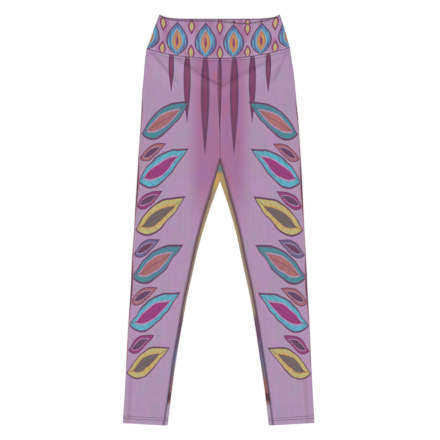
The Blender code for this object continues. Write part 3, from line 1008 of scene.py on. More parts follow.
# ---------------------------------------------------------------- threads
def stitch_form():
    """One stitch of unit length, width and height: rings of an ellipse from end to end, whose
    centres sink and whose sizes shrink towards both ends. Returns points, quads and UV map."""
    rings, sides, blunt = 5, 6, 0.02
    t = np.linspace(-1, 1, rings)[:, None]
    angle = (np.arange(sides) / sides * 2 * np.pi)[None, :]
    size = np.sqrt(np.clip(1 + blunt - t**2, 0, 1))
    along = np.broadcast_to(t * 0.5, (rings, sides))
    across = size * np.cos(angle) * 0.5
    up = size * np.sin(angle) * 0.5 - 0.5 * t**4
    points = np.stack([along, across, up], axis=-1).reshape(-1, 3)
    index = np.arange(rings * sides).reshape(rings, sides)
    after = np.roll(index, -1, axis=1)
    walls = np.stack([index[:-1], after[:-1], after[1:], index[1:]], axis=-1).reshape(-1, 4)
    first_cap = index[0][[[0, 5, 4, 3], [0, 3, 2, 1]]]
    last_cap = index[-1][[[0, 1, 2, 3], [0, 3, 4, 5]]]
    twist = np.stack([points[:, 0], np.tile(np.arange(sides) / sides, rings)], axis=-1)
    return points, np.concatenate([walls, first_cap, last_cap]), twist


def stitch_places(side, on_centre, thread, whole):
    """Centres, directions and normals of one row's stitches: a leg's row at that level, divided
    by the pitch along its length. whole rows go on round the inner fold."""
    leg = leg_grid(side, [on_centre - BESIDE_ROW, on_centre, on_centre + BESIDE_ROW])
    end = leg.points.shape[1] if whole else leg.turned + 1
    above, line, below = leg.points[:, :end]
    run = run_along(line[None], 1)[0]
    pitch = thread.pitch / MM
    at = ROW_START + pitch * np.arange(int((run[-1] - ROW_ENDS) // pitch))
    outward = -side * unit(np.cross(np.gradient(line, axis=0), below - above))

    def on_line(values, where):
        """Values of the line's points, read at distances along it."""
        return np.stack([np.interp(where, run, values[:, k]) for k in range(3)], axis=-1)

    tangent = unit(on_line(line, at + HALF_CHORD) - on_line(line, at - HALF_CHORD))
    return on_line(line, at), tangent, unit(on_line(outward, at))


def leg_threads(side, name, thread, material):
    """All stitches of one leg: both hem rows and the row below the waistband, each stitch the
    same form turned into its place and sunk into its groove."""
    form, quads, twist = stitch_form()
    rows = [(SEAM_LEVEL + COVER_ROW, False)]
    rows += [(HEM_LEVEL_INNER - row, True) for row in HEM_ROWS]
    found = [stitch_places(side, level, thread, whole) for level, whole in rows]
    centre, tangent, normal = (np.concatenate(part) for part in zip(*found))
    across = np.cross(normal, tangent)
    sink = np.where(normal[:, 2] < FACES_DOWN, STITCH_SINK_BELOW, STITCH_SINK)
    centre = centre - normal * sink[:, None]
    scaled = form * np.array([thread.length, thread.width, thread.width * THREAD_FLATNESS]) / MM
    points = (
        centre[:, None]
        + tangent[:, None] * scaled[None, :, :1]
        + across[:, None] * scaled[None, :, 1:2]
        + normal[:, None] * scaled[None, :, 2:]
    )
    faces = quads[None] + (np.arange(len(centre)) * len(form))[:, None, None]
    uv = np.tile(twist, (len(centre), 1)) / MM
    mesh = make_mesh(name, points.reshape(-1, 3), faces.reshape(-1, 4), {}, uv)
    return add_object(name, mesh, material)


# ---------------------------------------------------------------- shader nodes
MIX_SHARE, MIX_UNDER, MIX_OVER, MIX_COLOUR = 0, 6, 7, 2  # a Mix node's sockets for colours


class Graph:
    """Lays nodes into one node tree."""

    def __init__(self, tree):
        self.tree = tree

    def node(self, kind, **settings):
        """A new shader node with some of its settings."""
        made = self.tree.nodes.new("ShaderNode" + kind)
        for key, value in settings.items():
            setattr(made, key, value)
        return made

    def feed(self, socket, value):
        """Links a socket to another one, or sets its own value."""
        if isinstance(value, bpy.types.NodeSocket):
            self.tree.links.new(value, socket)
        elif socket.type == "RGBA" and len(value) == 3:
            socket.default_value = (*value, 1.0)
        else:
            socket.default_value = value

    def fed(self, made, labels, values):
        """The first output of a node whose inputs of those names or numbers are fed."""
        for label, value in zip(labels, values):
            self.feed(made.inputs[label], value)
        return made.outputs[0]

    def math(self, operation, *values):
        """The result of one calculation."""
        return self.fed(self.node("Math", operation=operation), range(len(values)), values)

    def step(self, value, low, high, start=0.0, end=1.0):
        """A smooth step of a value, from start at low to end at high."""
        made = self.node("MapRange", interpolation_type="SMOOTHSTEP")
        labels = ("Value", "From Min", "From Max", "To Min", "To Max")
        return self.fed(made, labels, (value, low, high, start, end))

    def mix(self, share, under, over):
        """One colour laid over another."""
        made = self.node("Mix", data_type="RGBA")
        self.fed(made, (MIX_SHARE, MIX_UNDER, MIX_OVER), (share, under, over))
        return made.outputs[MIX_COLOUR]

    def noise(self, vector, density, shift=(0.0, 0.0, 0.0), detail=2.0, roughness=0.5):
        """Noise between 0 and 1, density patches to a metre along x, y and z."""
        spot = self.node("VectorMath", operation="MULTIPLY_ADD")
        spot = self.fed(spot, range(3), (vector, density, shift))
        made = self.node("TexNoise", noise_dimensions="3D")
        labels = ("Vector", "Scale", "Detail", "Roughness")
        return self.fed(made, labels, (spot, 1.0, detail, roughness))

    def split(self, vector):
        """x, y and z of a vector."""
        made = self.node("SeparateXYZ")
        self.feed(made.inputs[0], vector)
        return tuple(made.outputs)

    def toned(self, colour, strength):
        """A colour times a strength."""
        made = self.node("VectorMath", operation="SCALE")
        return self.fed(made, (0, "Scale"), (colour, strength))

    def attribute(self, name):
        """A distance that the mesh carries."""
        return self.node("Attribute", attribute_name=name).outputs["Fac"]

    def print_map(self):
        """The piece's own UV map, in metres."""
        return self.node("UVMap", uv_map="print").outputs[0]

    def object_place(self):
        """The place on the object, in metres."""
        return self.node("TexCoord").outputs["Object"]

    def place(self, group, **values):
        """A shared node group in this tree; its outputs by name. _ stands for a space."""
        made = self.node("Group")
        made.node_tree = shared(group)
        self.fed(made, [label.replace("_", " ") for label in values], values.values())
        return {o.name.replace(" ", "_"): o for o in made.outputs}

    def bump(self, shader, height, strength, distance):
        """Raises a shader's surface by a height."""
        made = self.node("Bump")
        self.fed(made, ("Strength", "Distance", "Height"), (strength, distance, height))
        self.feed(shader.inputs["Normal"], made.outputs[0])


KINDS = {"vector": "NodeSocketVector", "value": "NodeSocketFloat", "colour": "NodeSocketColor"}


def new_group(name, inputs, outputs):
    """An empty node group with named sockets: its Graph, its inputs by name, its output node."""
    tree = bpy.data.node_groups.new(name, "ShaderNodeTree")
    for label, kind in inputs.items():
        tree.interface.new_socket(label, in_out="INPUT", socket_type=KINDS[kind])
    for label, kind in outputs.items():
        tree.interface.new_socket(label, in_out="OUTPUT", socket_type=KINDS[kind])
    graph = Graph(tree)
    given = tree.nodes.new("NodeGroupInput")
    result = tree.nodes.new("NodeGroupOutput")
    return graph, given.outputs, result.inputs


def build_knit(name):
    """Jersey knit: upright wales of V-shaped loops. Height is each wale's round section times a
    wave down it that leans outwards from the wale's middle. Shade is painted shade that follows it,
    darker in the hollows between the loops."""
    slant, loops_down = 1.5, 1.25  # of the wave, in a wale's widths
    roundness, wave_depth = 3.6, 0.25
    low_shade, shade_depth = 0.93, 0.10
    graph, given, result = new_group(
        name, {"Vector": "vector", "Wale": "value"}, {"Height": "value", "Shade": "value"}
    )
    x, y, _ = graph.split(given["Vector"])
    u = graph.math("DIVIDE", x, given["Wale"])
    v = graph.math("DIVIDE", y, given["Wale"])
    off = graph.math("ABSOLUTE", graph.math("SUBTRACT", graph.math("FRACT", u), 0.5))
    lean = graph.math("MULTIPLY_ADD", off, slant, graph.math("MULTIPLY", v, loops_down))
    loop = graph.math("SINE", graph.math("MULTIPLY", lean, 2 * np.pi))
    wale = graph.math("MULTIPLY_ADD", graph.math("MULTIPLY", off, off), -roundness, 1.0)
    wave = graph.math("MULTIPLY_ADD", loop, wave_depth, 1 - wave_depth)
    height = graph.math("MULTIPLY", wale, wave)
    graph.feed(result["Height"], height)
    graph.feed(result["Shade"], graph.math("MULTIPLY_ADD", height, shade_depth, low_shade))
    return graph.tree


def build_wash(name):
    """Watery ground: three inks in soft upright patches, crossed by fine brush streaks."""
    second_at, third_at, third_share = (0.42, 0.64), (0.46, 0.66), 0.85
    streak_depth, fine_depth = 0.16, 0.08
    inputs = {"Vector": "vector", "Main": "colour", "Second": "colour", "Third": "colour"}
    graph, given, result = new_group(name, inputs, {"Colour": "colour"})
    where = given["Vector"]
    broad = graph.noise(where, (26, 11, 1), detail=2.5)
    other = graph.noise(where, (34, 15, 1), (7, 3, 5))
    streak = graph.noise(where, (240, 7, 1), (1, 9, 2))
    fine = graph.noise(where, (900, 40, 1), (4, 1, 8), detail=1.0)
    colour = graph.mix(graph.step(broad, *second_at), given["Main"], given["Second"])
    share = graph.math("MULTIPLY", graph.step(other, *third_at), third_share)
    colour = graph.mix(share, colour, given["Third"])
    for noise, depth in ((streak, streak_depth), (fine, fine_depth)):
        colour = graph.toned(colour, graph.math("MULTIPLY_ADD", noise, depth, 1 - depth / 2))
    graph.feed(result["Colour"], colour)
    return graph.tree


def build_leaf(name):
    """One leaf. Depth is a pointed profile along it less the distance across it, so that its
    levels are leaves nested in each other; Rib is a midrib with slanting side veins; Stroke is
    the brush's unevenness, drawn out along the leaf."""
    bend = 0.8  # brings the widest place nearer to the foot
    midrib, tip = (0.07, 0.02), (0.96, 0.86)
    vein_slant, veins, vein_strength = 0.16, 8.0, 0.5
    vein, from_rim = (0.11, 0.03), (0.12, 0.2)
    inputs = {"Along": "value", "Across": "value"}
    outputs = {"Depth": "value", "Rib": "value", "Stroke": "value"}
    graph, given, result = new_group(name, inputs, outputs)
    along = graph.math("MAXIMUM", graph.math("MINIMUM", given["Along"], 1.0), 0.0)
    across = graph.math("ABSOLUTE", given["Across"])
    bent = graph.math("POWER", along, bend)
    profile = graph.math("SINE", graph.math("MULTIPLY", bent, np.pi))
    depth = graph.math("SUBTRACT", profile, across)
    graph.feed(result["Depth"], depth)
    mid = graph.math("MULTIPLY", graph.step(across, *midrib), graph.step(along, *tip))
    slanted = graph.math("MULTIPLY_ADD", across, -vein_slant, along)
    wave = graph.math("FRACT", graph.math("MULTIPLY", slanted, veins))
    near = graph.math("ABSOLUTE", graph.math("SUBTRACT", wave, 0.5))
    side = graph.math("MULTIPLY", graph.step(near, *vein), graph.step(depth, *from_rim))
    side = graph.math("MULTIPLY", side, vein_strength)
    graph.feed(result["Rib"], graph.math("MAXIMUM", mid, side))
    brush = graph.fed(graph.node("CombineXYZ"), range(2), (given["Along"], given["Across"]))
    stroke = graph.noise(brush, (2.6, 6.0, 0.0), detail=3.0, roughness=0.6)
    graph.feed(result["Stroke"], stroke)
    return graph.tree


def build_leaf_paint(name):
    """A leaf laid over a colour: outline, broad band with a second ink brushed into it, thin line
    and heart from its rim inwards, ribs in the outline's ink, and all of it unevenly inked."""
    values = dict.fromkeys(("Depth", "Rib", "Stroke"), "value")
    inks = dict.fromkeys(("Under", "Outline", "Band", "Brushed", "Line", "Heart"), "colour")
    graph, given, result = new_group(name, {**values, **inks}, {"Colour": "colour"})
    brush, brush_share, rib_share, contrast = (0.46, 0.60), 0.75, 0.5, 0.44
    depth, stroke = given["Depth"], given["Stroke"]
    brushed = graph.step(stroke, *brush, 0.0, brush_share)
    layers = (  # the depth where each begins and where it is whole
        (0.02, 0.05, given["Outline"]),
        (0.14, 0.18, graph.mix(brushed, given["Band"], given["Brushed"])),
        (0.46, 0.49, given["Line"]),
        (0.55, 0.59, given["Heart"]),
    )
    colour = given["Under"]
    for begins, whole, ink in layers:
        colour = graph.mix(graph.step(depth, begins, whole), colour, ink)
    ribbed = graph.math("MULTIPLY", given["Rib"], graph.step(depth, 0.0, 0.1, 0.0, rib_share))
    colour = graph.mix(ribbed, colour, given["Outline"])
    uneven = graph.math("MULTIPLY_ADD", stroke, contrast, -contrast / 2)
    tone = graph.math("MULTIPLY_ADD", uneven, graph.step(depth, 0.02, 0.08), 1.0)
    graph.feed(result["Colour"], graph.toned(colour, tone))
    return graph.tree


def build_garland(name):
    """Places in a row of leaves that lean up and away from the line x = 0 on both sides, those on
    one side half a period on from the other's. Along and Across are a leaf's own coordinates,
    Cell its number. Before and after the stretch from First to Last the leaves shrink away."""
    wander_by, curve = 0.007, 1.6  # how far a leaf's form wanders, and how much it bends
    grown, shrinking, least = 0.09, 0.12, 0.35  # metres after First and before Last; least size
    labels = ("Period", "Shift", "Start", "Reach", "Rise", "Half width", "First", "Last")
    inputs = {"Vector": "vector", **dict.fromkeys(labels, "value")}
    outputs = {"Along": "value", "Across": "value", "Cell": "value"}
    graph, given, result = new_group(name, inputs, outputs)
    period, shift, first, last = (given[k] for k in ("Period", "Shift", "First", "Last"))
    x, y, _ = graph.split(given["Vector"])
    wander = graph.noise(given["Vector"], (28, 28, 1), (2, 6, 1), detail=1.0)
    wander = graph.math("MULTIPLY_ADD", wander, wander_by, -wander_by / 2)
    out = graph.math("ADD", graph.math("ABSOLUTE", x), wander)
    from_start = graph.math("SUBTRACT", out, given["Start"])
    lean = graph.math("DIVIDE", given["Rise"], given["Reach"])
    curved = graph.math("MULTIPLY_ADD", graph.math("MULTIPLY", out, out), curve, y)
    level = graph.math("MULTIPLY_ADD", out, lean, graph.math("ADD", curved, wander))
    behind = graph.math("MULTIPLY", graph.math("LESS_THAN", x, 0.0), 0.5)
    turn = graph.math("DIVIDE", graph.math("SUBTRACT", level, shift), period)
    turn = graph.math("ADD", turn, behind)
    cell = graph.math("FLOOR", turn)
    off = graph.math("SUBTRACT", graph.math("FRACT", turn), 0.5)
    off = graph.math("MULTIPLY", off, period)
    centre = graph.math("SUBTRACT", graph.math("ADD", cell, 0.5), behind)
    centre = graph.math("MULTIPLY_ADD", centre, period, shift)
    growth = graph.step(centre, first, graph.math("ADD", first, grown))
    decline = graph.step(centre, last, graph.math("SUBTRACT", last, shrinking))
    size = graph.math("MULTIPLY", growth, decline)
    size = graph.math("MULTIPLY", size, graph.math("GREATER_THAN", size, least))
    reach = graph.math("MULTIPLY", given["Reach"], size)
    half = graph.math("MULTIPLY", given["Half width"], size)
    slope = graph.math("SQRT", graph.math("MULTIPLY_ADD", lean, lean, 1.0))
    upright = graph.math("DIVIDE", off, slope)
    graph.feed(result["Along"], graph.math("DIVIDE", from_start, reach))
    graph.feed(result["Across"], graph.math("DIVIDE", upright, half))
    graph.feed(result["Cell"], cell)
    return graph.tree


def build_turns(name):
    """Takes turns between three inks by a leaf's number."""
    within = 0.4  # of a whole number
    inputs = {"Cell": "value", "First": "colour", "Second": "colour", "Third": "colour"}
    graph, given, result = new_group(name, inputs, {"Colour": "colour"})
    turn = graph.math("FLOORED_MODULO", given["Cell"], 3.0)
    colour = given["First"]
    for number, ink in ((1.0, "Second"), (2.0, "Third")):
        colour = graph.mix(graph.math("COMPARE", turn, number, within), colour, given[ink])
    graph.feed(result["Colour"], colour)
    return graph.tree


def build_seam_shade(name):
    """Masks beside a seam: the first is painted shade in the groove, the second the paler ridge
    next to it, where the cloth is stretched over the allowance, with a painted highlight."""
    groove, groove_shade_width = 0.0002, 0.0012  # metres from the seam
    ridge_begins, ridge_ends = (0.0014, 0.0026), (0.0062, 0.0036)
    inputs, outputs = {"Distance": "value", "Vector": "vector"}, {"Ink": "value", "Rub": "value"}
    graph, given, result = new_group(name, inputs, outputs)
    uneven = graph.noise(given["Vector"], (160, 160, 1))
    wide = graph.math("MULTIPLY_ADD", uneven, groove_shade_width, groove_shade_width)
    graph.feed(result["Ink"], graph.step(given["Distance"], wide, groove))
    rise = graph.step(given["Distance"], *ridge_begins)
    fall = graph.step(given["Distance"], *ridge_ends)
    graph.feed(result["Rub"], graph.math("MULTIPLY", graph.math("MULTIPLY", rise, fall), uneven))
    return graph.tree


GROUPS = {
    "Jersey knit": build_knit,
    "Watery ground": build_wash,
    "Leaf": build_leaf,
    "Leaf paint": build_leaf_paint,
    "Garland": build_garland,
    "Inks in turn": build_turns,
    "Seam shade": build_seam_shade,
}


def shared(name):
    """One of the node groups above, built the first time it is asked for."""
    return bpy.data.node_groups.get(name) or GROUPS[name](name)


# ---------------------------------------------------------------- finishes
KNIT_SHEEN = 0.12
PAINTED_SHADE_INK = srgb(50, 30, 50)  # painted shade in a seam's groove and along a fold
WORN_HIGHLIGHT_INK = srgb(216, 205, 218)  # on the ridge beside a seam: stretched, worn cloth with a painted highlight
SHADE_INK = srgb(84, 48, 62)  # beside the inseam and the gusset
LOW_SHADE_INK = srgb(84, 68, 98)  # the same below the calf
RUST_INK = srgb(140, 84, 70, INK)  # a stretch of the inseam above the ankle
GARNET_INK = srgb(70, 4, 8, INK)  # the short stretch below it


class HangingLeaf(NamedTuple):
    """A slender leaf that hangs from the waistband on both sides of the front: its place across,
    its length and its half width, in metres."""

    centre: float
    length: float
    half: float


HANGING_LEAVES = (
    HangingLeaf(0.0, 0.205, 0.0056),
    HangingLeaf(0.034, 0.262, 0.0105),
    HangingLeaf(0.076, 0.186, 0.0088),
    HangingLeaf(0.113, 0.112, 0.0068),
)
HANG_LEVEL = SEAM_LEVEL - SEAM_RISE - 6  # where they begin, under the waistband
GARLAND_START = 0.004  # metres from the outer fold to a leaf's foot
GARLAND_FIRST, GARLAND_LAST = 0.20, 0.93  # metres down the leg to the garland's ends


def new_material(name, sheen, roughness=0.5):
    """A material with its Graph and shader; sheen and specular are constants on the shader."""
    material = bpy.data.materials.new(name)
    material.use_nodes = True
    shader = material.node_tree.nodes["Principled BSDF"]
    shader.inputs["Roughness"].default_value = roughness
    shader.inputs["Metallic"].default_value = 0.0
    shader.inputs["Specular IOR Level"].default_value = 0.3
    shader.inputs["Sheen Weight"].default_value = sheen
    shader.inputs["Sheen Roughness"].default_value = 0.5
    return material, Graph(material.node_tree), shader


def finish_knit(graph, shader, colour, uv, fold_ink, puckers=None):
    """Lay the knit, the painted shade in the seams' grooves and along folded edges, the paler ridge
    beside a seam (stretched, worn cloth with a painted highlight) and the roughness over a print
    and feed the shader. The value for folds is how strong the painted shade along folded edges
    is; puckers are the cloth's small waves beside a row of stitches, in knit heights."""
    wale, groove_shade, ridge_wear_and_highlight, fold_edge = 0.0009, 0.45, 0.12, (0.0034, 0.0003)
    smoothest, roughness_range = 0.60, 0.14
    knit = graph.place("Jersey knit", Vector=uv, Wale=wale)
    shade = graph.place("Seam shade", Distance=graph.attribute("from_seam"), Vector=uv)
    # painted shade in the seam's groove
    colour = graph.mix(graph.math("MULTIPLY", shade["Ink"], groove_shade), colour, PAINTED_SHADE_INK)
    # the paler ridge beside a seam: stretched, worn cloth and a painted highlight
    colour = graph.mix(graph.math("MULTIPLY", shade["Rub"], ridge_wear_and_highlight), colour, WORN_HIGHLIGHT_INK)
    # painted shade along folded edges
    at_fold = graph.step(graph.attribute("from_fold"), *fold_edge, 0.0, fold_ink)
    colour = graph.mix(at_fold, colour, PAINTED_SHADE_INK)
    # the knit's Shade is painted shade, darker in the hollows between its loops
    graph.feed(shader.inputs["Base Color"], graph.toned(colour, knit["Shade"]))
    rough = graph.noise(uv, (60, 40, 1))
    rough = graph.math("MULTIPLY_ADD", rough, roughness_range, smoothest)
    graph.feed(shader.inputs["Roughness"], rough)
    height = knit["Height"]
    if puckers is not None:
        height = graph.math("ADD", puckers, height)
    graph.bump(shader, height, strength=0.45, distance=0.00012)


def washed(graph, vector, first, second, third):
    """A watery ground in three inks."""
    made = graph.place("Watery ground", Vector=vector, Main=first, Second=second, Third=third)
    return made["Colour"]


def in_turn(graph, cell, first, second, third):
    """One of three inks by a leaf's number."""
    return graph.place("Inks in turn", Cell=cell, First=first, Second=second, Third=third)["Colour"]


def painted(graph, under, leaf, outline, band, brushed, line, heart):
    """A leaf's paint over a colour."""
    return graph.place(
        "Leaf paint",
        Under=under,
        **leaf,
        Outline=outline,
        Band=band,
        Brushed=brushed,
        Line=line,
        Heart=heart,
    )["Colour"]


def leg_ground(graph, ink, uv, where):
    """The legs' ground: lilac, which turns orchid down the centre front, and a faint smoky streak
    on both sides of the outer fold below the calf, painted shade of a soft crease there."""
    orchid_across, orchid_down = (0.082, 0.040), (0.54, 0.36)
    streak_right, streak_left = 0.0138, 0.0175  # from the outer fold
    streak_edge, streak_top, streak_shade = (0.0075, 0.001), (0.79, 0.84), 0.22
    x, _, _ = graph.split(where)
    s, t, _ = graph.split(uv)
    lilac = washed(graph, uv, ink.lilac, ink.violet, ink.mist)
    orchid = washed(graph, where, ink.orchid, ink.rose, ink.mauve)
    middle = graph.step(graph.math("ABSOLUTE", x), *orchid_across)
    middle = graph.math("MULTIPLY", middle, graph.step(t, *orchid_down))
    colour = graph.mix(middle, lilac, orchid)
    # painted shade of a soft crease beside the outer fold, in the smoke ink
    line = graph.step(x, -0.05, 0.05, streak_right, streak_left)
    off = graph.math("ABSOLUTE", graph.math("SUBTRACT", graph.math("ABSOLUTE", s), line))
    streak = graph.step(off, *streak_edge, 0.0, streak_shade)
    streak = graph.math("MULTIPLY", streak, graph.step(t, *streak_top))
    return graph.mix(streak, colour, ink.smoke)


def hanging_leaves(graph, colour, ink, x, t):
    """Slender leaves that hang from the waistband, the same on both sides of the centre line."""
    from_top = graph.math("SUBTRACT", t, HANG_LEVEL * MM)
    out = graph.math("ABSOLUTE", x)
    for hanging in HANGING_LEAVES:
        along = graph.math("DIVIDE", from_top, hanging.length)
        across = graph.math("SUBTRACT", out, hanging.centre)
        across = graph.math("DIVIDE", across, hanging.half)
        leaf = graph.place("Leaf", Along=along, Across=across)
        colour = painted(graph, colour, leaf, ink.plum, ink.plum, ink.wine, ink.plum, ink.wine)
    return colour


def garland_leaf(graph, ink, uv, shift, rise, length, width):
    """One row of leaves up the outer fold: the leaf and its number. length and width are shares
    of a big leaf's; shift moves the row down the leg, and rise is how far its tips lean up."""
    row = graph.place(
        "Garland",
        Vector=uv,
        Period=ink.leaf_period,
        Shift=shift,
        Start=GARLAND_START,
        Reach=ink.leaf_reach * length,
        Rise=rise,
        Half_width=ink.leaf_width * width,
        First=GARLAND_FIRST,
        Last=GARLAND_LAST,
    )
    return graph.place("Leaf", Along=row["Along"], Across=row["Across"]), row["Cell"]


def garland(graph, colour, ink, uv):
    """The leaves beside the outer fold: a row of small ones, and over it a row of big ones whose
    inks take turns."""
    leaf, cell = garland_leaf(graph, ink, uv, shift=0.058, rise=0.030, length=0.52, width=0.50)
    bud = in_turn(graph, cell, ink.magenta, ink.slate, ink.salmon)
    colour = painted(graph, colour, leaf, ink.plum, bud, ink.wine, ink.lilac, ink.plum)
    leaf, cell = garland_leaf(graph, ink, uv, shift=0.0, rise=0.056, length=1.0, width=1.0)
    band = in_turn(graph, cell, ink.aqua, ink.lime, ink.teal)
    brushed = in_turn(graph, cell, ink.teal, ink.gold, ink.slate)
    line = in_turn(graph, cell, ink.violet, ink.gold, ink.lilac)
    heart = in_turn(graph, cell, ink.magenta, ink.smoke, ink.salmon)
    return painted(graph, colour, leaf, ink.plum, band, brushed, line, heart)


def stem(graph, colour, ink, s, t):
    """The garland's thin stem, plum with a salmon edge, which sways about the outer fold."""
    sway_length, sway_by = 0.23, 0.0022
    top, foot = (0.19, 0.24), (0.83, 0.77)
    sway = graph.math("SINE", graph.math("MULTIPLY", t, 2 * np.pi / sway_length))
    off = graph.math("ABSOLUTE", graph.math("MULTIPLY_ADD", sway, sway_by, s))
    ends = graph.math("MULTIPLY", graph.step(t, *top), graph.step(t, *foot))
    for outside, inside, over in ((0.0052, 0.0044, ink.salmon), (0.0036, 0.0028, ink.plum)):
        share = graph.math("MULTIPLY", graph.step(off, outside, inside), ends)
        colour = graph.mix(share, colour, over)
    return colour


def inseam(graph, colour, ink, uv, t):
    """The wash of the back cloth that turns to the inseam, in inks that follow each other down
    the leg, the shade of the front cloth beside inseam and gusset, and a short garnet stretch."""
    turned_edge, shade_edge, shade_ink = (0.030, 0.022), (0.0070, 0.0022), 0.68
    wash = washed(graph, uv, ink.ochre, ink.taupe, ink.gold)
    stretches = (  # where each begins and where it is whole, in metres down the leg
        (0.49, 0.57, ink.taupe),
        (0.690, 0.715, ink.plum),
        (0.750, 0.785, washed(graph, uv, ink.slate, ink.plum, ink.smoke)),
        (0.838, 0.850, RUST_INK),
        (0.904, 0.914, ink.mist),
    )
    for begins, whole, over in stretches:
        wash = graph.mix(graph.step(t, begins, whole), wash, over)
    turned_in = graph.step(graph.attribute("from_inseam"), *turned_edge)
    colour = graph.mix(turned_in, colour, wash)

    narrowing = graph.step(t, 0.45, 0.75, 1.0, 1.3)
    distance = graph.math("MULTIPLY", graph.attribute("from_gusset"), narrowing)
    shaded = graph.step(distance, *shade_edge, 0.0, shade_ink)
    shaded = graph.math("MULTIPLY", shaded, graph.step(t, 0.88, 0.93, 1.0, 0.7))
    shade = graph.mix(graph.step(t, 0.71, 0.76), SHADE_INK, LOW_SHADE_INK)
    colour = graph.mix(shaded, colour, shade)

    garnet = graph.math("MULTIPLY", graph.step(t, 0.880, 0.886), graph.step(t, 0.904, 0.898))
    return graph.mix(graph.math("MULTIPLY", garnet, turned_in), colour, GARNET_INK)


def row_puckers(graph, s, pitch):
    """Small waves beside the rows of stitches, one to each stitch, in heights of the knit."""
    reach, falloff, tallest = 0.0042, 1.5, 2.2
    near = graph.math("POWER", graph.step(graph.attribute("from_row"), reach, 0.0), falloff)
    wave = graph.math("SINE", graph.math("MULTIPLY", s, 2 * np.pi / pitch))
    return graph.math("MULTIPLY", graph.math("MULTIPLY", near, wave), tallest)


def leg_knit(ink, pitch):
    """The legs' print: a watery lilac ground that turns orchid down the centre front, slender
    leaves that hang from the waistband, a leaf garland up each outer fold and an ochre inseam.
    Painted shade lies along the folds, heavier high on the left leg's outer fold."""
    fold_ink, more_fold_shade = 0.16, 0.22
    material, graph, shader = new_material("leg_knit", KNIT_SHEEN)
    uv, where = graph.print_map(), graph.object_place()
    x, _, _ = graph.split(where)
    s, t, _ = graph.split(uv)
    colour = leg_ground(graph, ink, uv, where)
    colour = hanging_leaves(graph, colour, ink, x, t)
    colour = garland(graph, colour, ink, uv)
    colour = stem(graph, colour, ink, s, t)
    colour = inseam(graph, colour, ink, uv, t)
    # painted shade along the folds, heavier high on the left leg's outer fold
    high_left = graph.math("MULTIPLY", graph.step(x, 0.14, 0.17), graph.step(t, 0.24, 0.16))
    at_fold = graph.math("MULTIPLY_ADD", high_left, more_fold_shade, fold_ink)
    finish_knit(graph, shader, colour, uv, at_fold, row_puckers(graph, s, pitch))
    return material


def row_across(graph, x, period, half, shift=0.0):
    """Where x lies across the nearest leaf of a row, in that leaf's half widths. shift moves the
    row by a share of its period."""
    turn = graph.math("ADD", graph.math("DIVIDE", x, period), shift)
    off = graph.math("SUBTRACT", graph.math("FRACT", turn), 0.5)
    return graph.math("MULTIPLY", off, period / half)


def band_knit(ink, name, fold_ink):
    """The waistband's print: a row of upright leaves, between them small half leaves from both
    edges, on the lilac ground. The facing has it too, turned over at the upper edge."""
    height = (SEAM_LEVEL - FRONT_TOP - SEAM_RISE / 4) * MM
    small_half, small_tip, small_length = 0.0085, 0.52, 0.40
    big_half, big_foot, big_length = 0.0265, 0.985, 0.97
    inner_scale, inner_edge = 1.6, 0.92  # of the depth, for the leaf painted inside the big one
    material, graph, shader = new_material(name, KNIT_SHEEN)
    uv = graph.print_map()
    x, v, _ = graph.split(uv)
    down = graph.math("DIVIDE", v, height)
    colour = washed(graph, uv, ink.lilac, ink.violet, ink.orchid)

    from_middle = graph.math("ABSOLUTE", graph.math("SUBTRACT", down, 0.5))
    along = graph.math("SUBTRACT", small_tip, from_middle)
    along = graph.math("DIVIDE", along, small_length)
    across = row_across(graph, x, ink.band_period, small_half, shift=0.5)
    leaf = graph.place("Leaf", Along=along, Across=across)
    colour = painted(graph, colour, leaf, ink.plum, ink.magenta, ink.wine, ink.gold, ink.lime)

    along = graph.math("DIVIDE", graph.math("SUBTRACT", big_foot, down), big_length)
    across = row_across(graph, x, ink.band_period, big_half)
    leaf = graph.place("Leaf", Along=along, Across=across)
    outer = {**leaf, "Rib": 0.0}
    depth = graph.math("MULTIPLY_ADD", leaf["Depth"], inner_scale, -inner_edge)
    inner = {**leaf, "Depth": depth}
    colour = painted(graph, colour, outer, ink.plum, ink.slate, ink.aqua, ink.aqua, ink.gold)
    colour = painted(graph, colour, inner, ink.salmon, ink.gold, ink.salmon, ink.magenta, ink.plum)
    finish_knit(graph, shader, colour, uv, fold_ink)
    return material


def gusset_knit(ink):
    """The gusset: an ochre wash that turns to slate towards the front corner."""
    fold_ink, seam_edge, seam_shade_share = 0.26, (0.0080, 0.0028), 0.66
    material, graph, shader = new_material("gusset_knit", KNIT_SHEEN)
    uv = graph.print_map()
    _, level, _ = graph.split(uv)
    colour = washed(graph, uv, ink.ochre, ink.taupe, ink.gold)
    sea = graph.mix(0.4, ink.teal, ink.smoke)
    for begins, whole, over in ((0.376, 0.360, sea), (0.358, 0.346, ink.smoke)):
        colour = graph.mix(graph.step(level, begins, whole), colour, over)
    # painted shade beside the gusset's seams, and along its fold
    shaded = graph.step(graph.attribute("from_gusset"), *seam_edge, 0.0, seam_shade_share)
    finish_knit(graph, shader, graph.mix(shaded, colour, SHADE_INK), uv, fold_ink)
    return material


def sewing_thread(colour):
    """Sewing thread: two plies whose slanting grooves run round each stitch, with painted shade in
    the grooves, and a little fuzz.
    """
    turns, ply_shade, fuzz_shade, darkest = 3.0, 0.12, 0.3, 0.85
    material, graph, shader = new_material("sewing_thread", 0.2, roughness=0.6)
    along, round_it, _ = graph.split(graph.print_map())
    slant = graph.math("MULTIPLY_ADD", along, turns, round_it)
    ply = graph.math("SINE", graph.math("MULTIPLY", slant, 4 * np.pi))
    fuzz = graph.noise(graph.object_place(), (900, 900, 900))
    fuzz = graph.math("MULTIPLY_ADD", fuzz, fuzz_shade, darkest)
    # painted shade in the ply grooves, and the fuzz's uneven tone
    bright = graph.math("MULTIPLY_ADD", ply, ply_shade, fuzz)
    graph.feed(shader.inputs["Base Color"], graph.toned(colour, bright))
    graph.bump(shader, ply, strength=0.5, distance=0.0001)
    return material


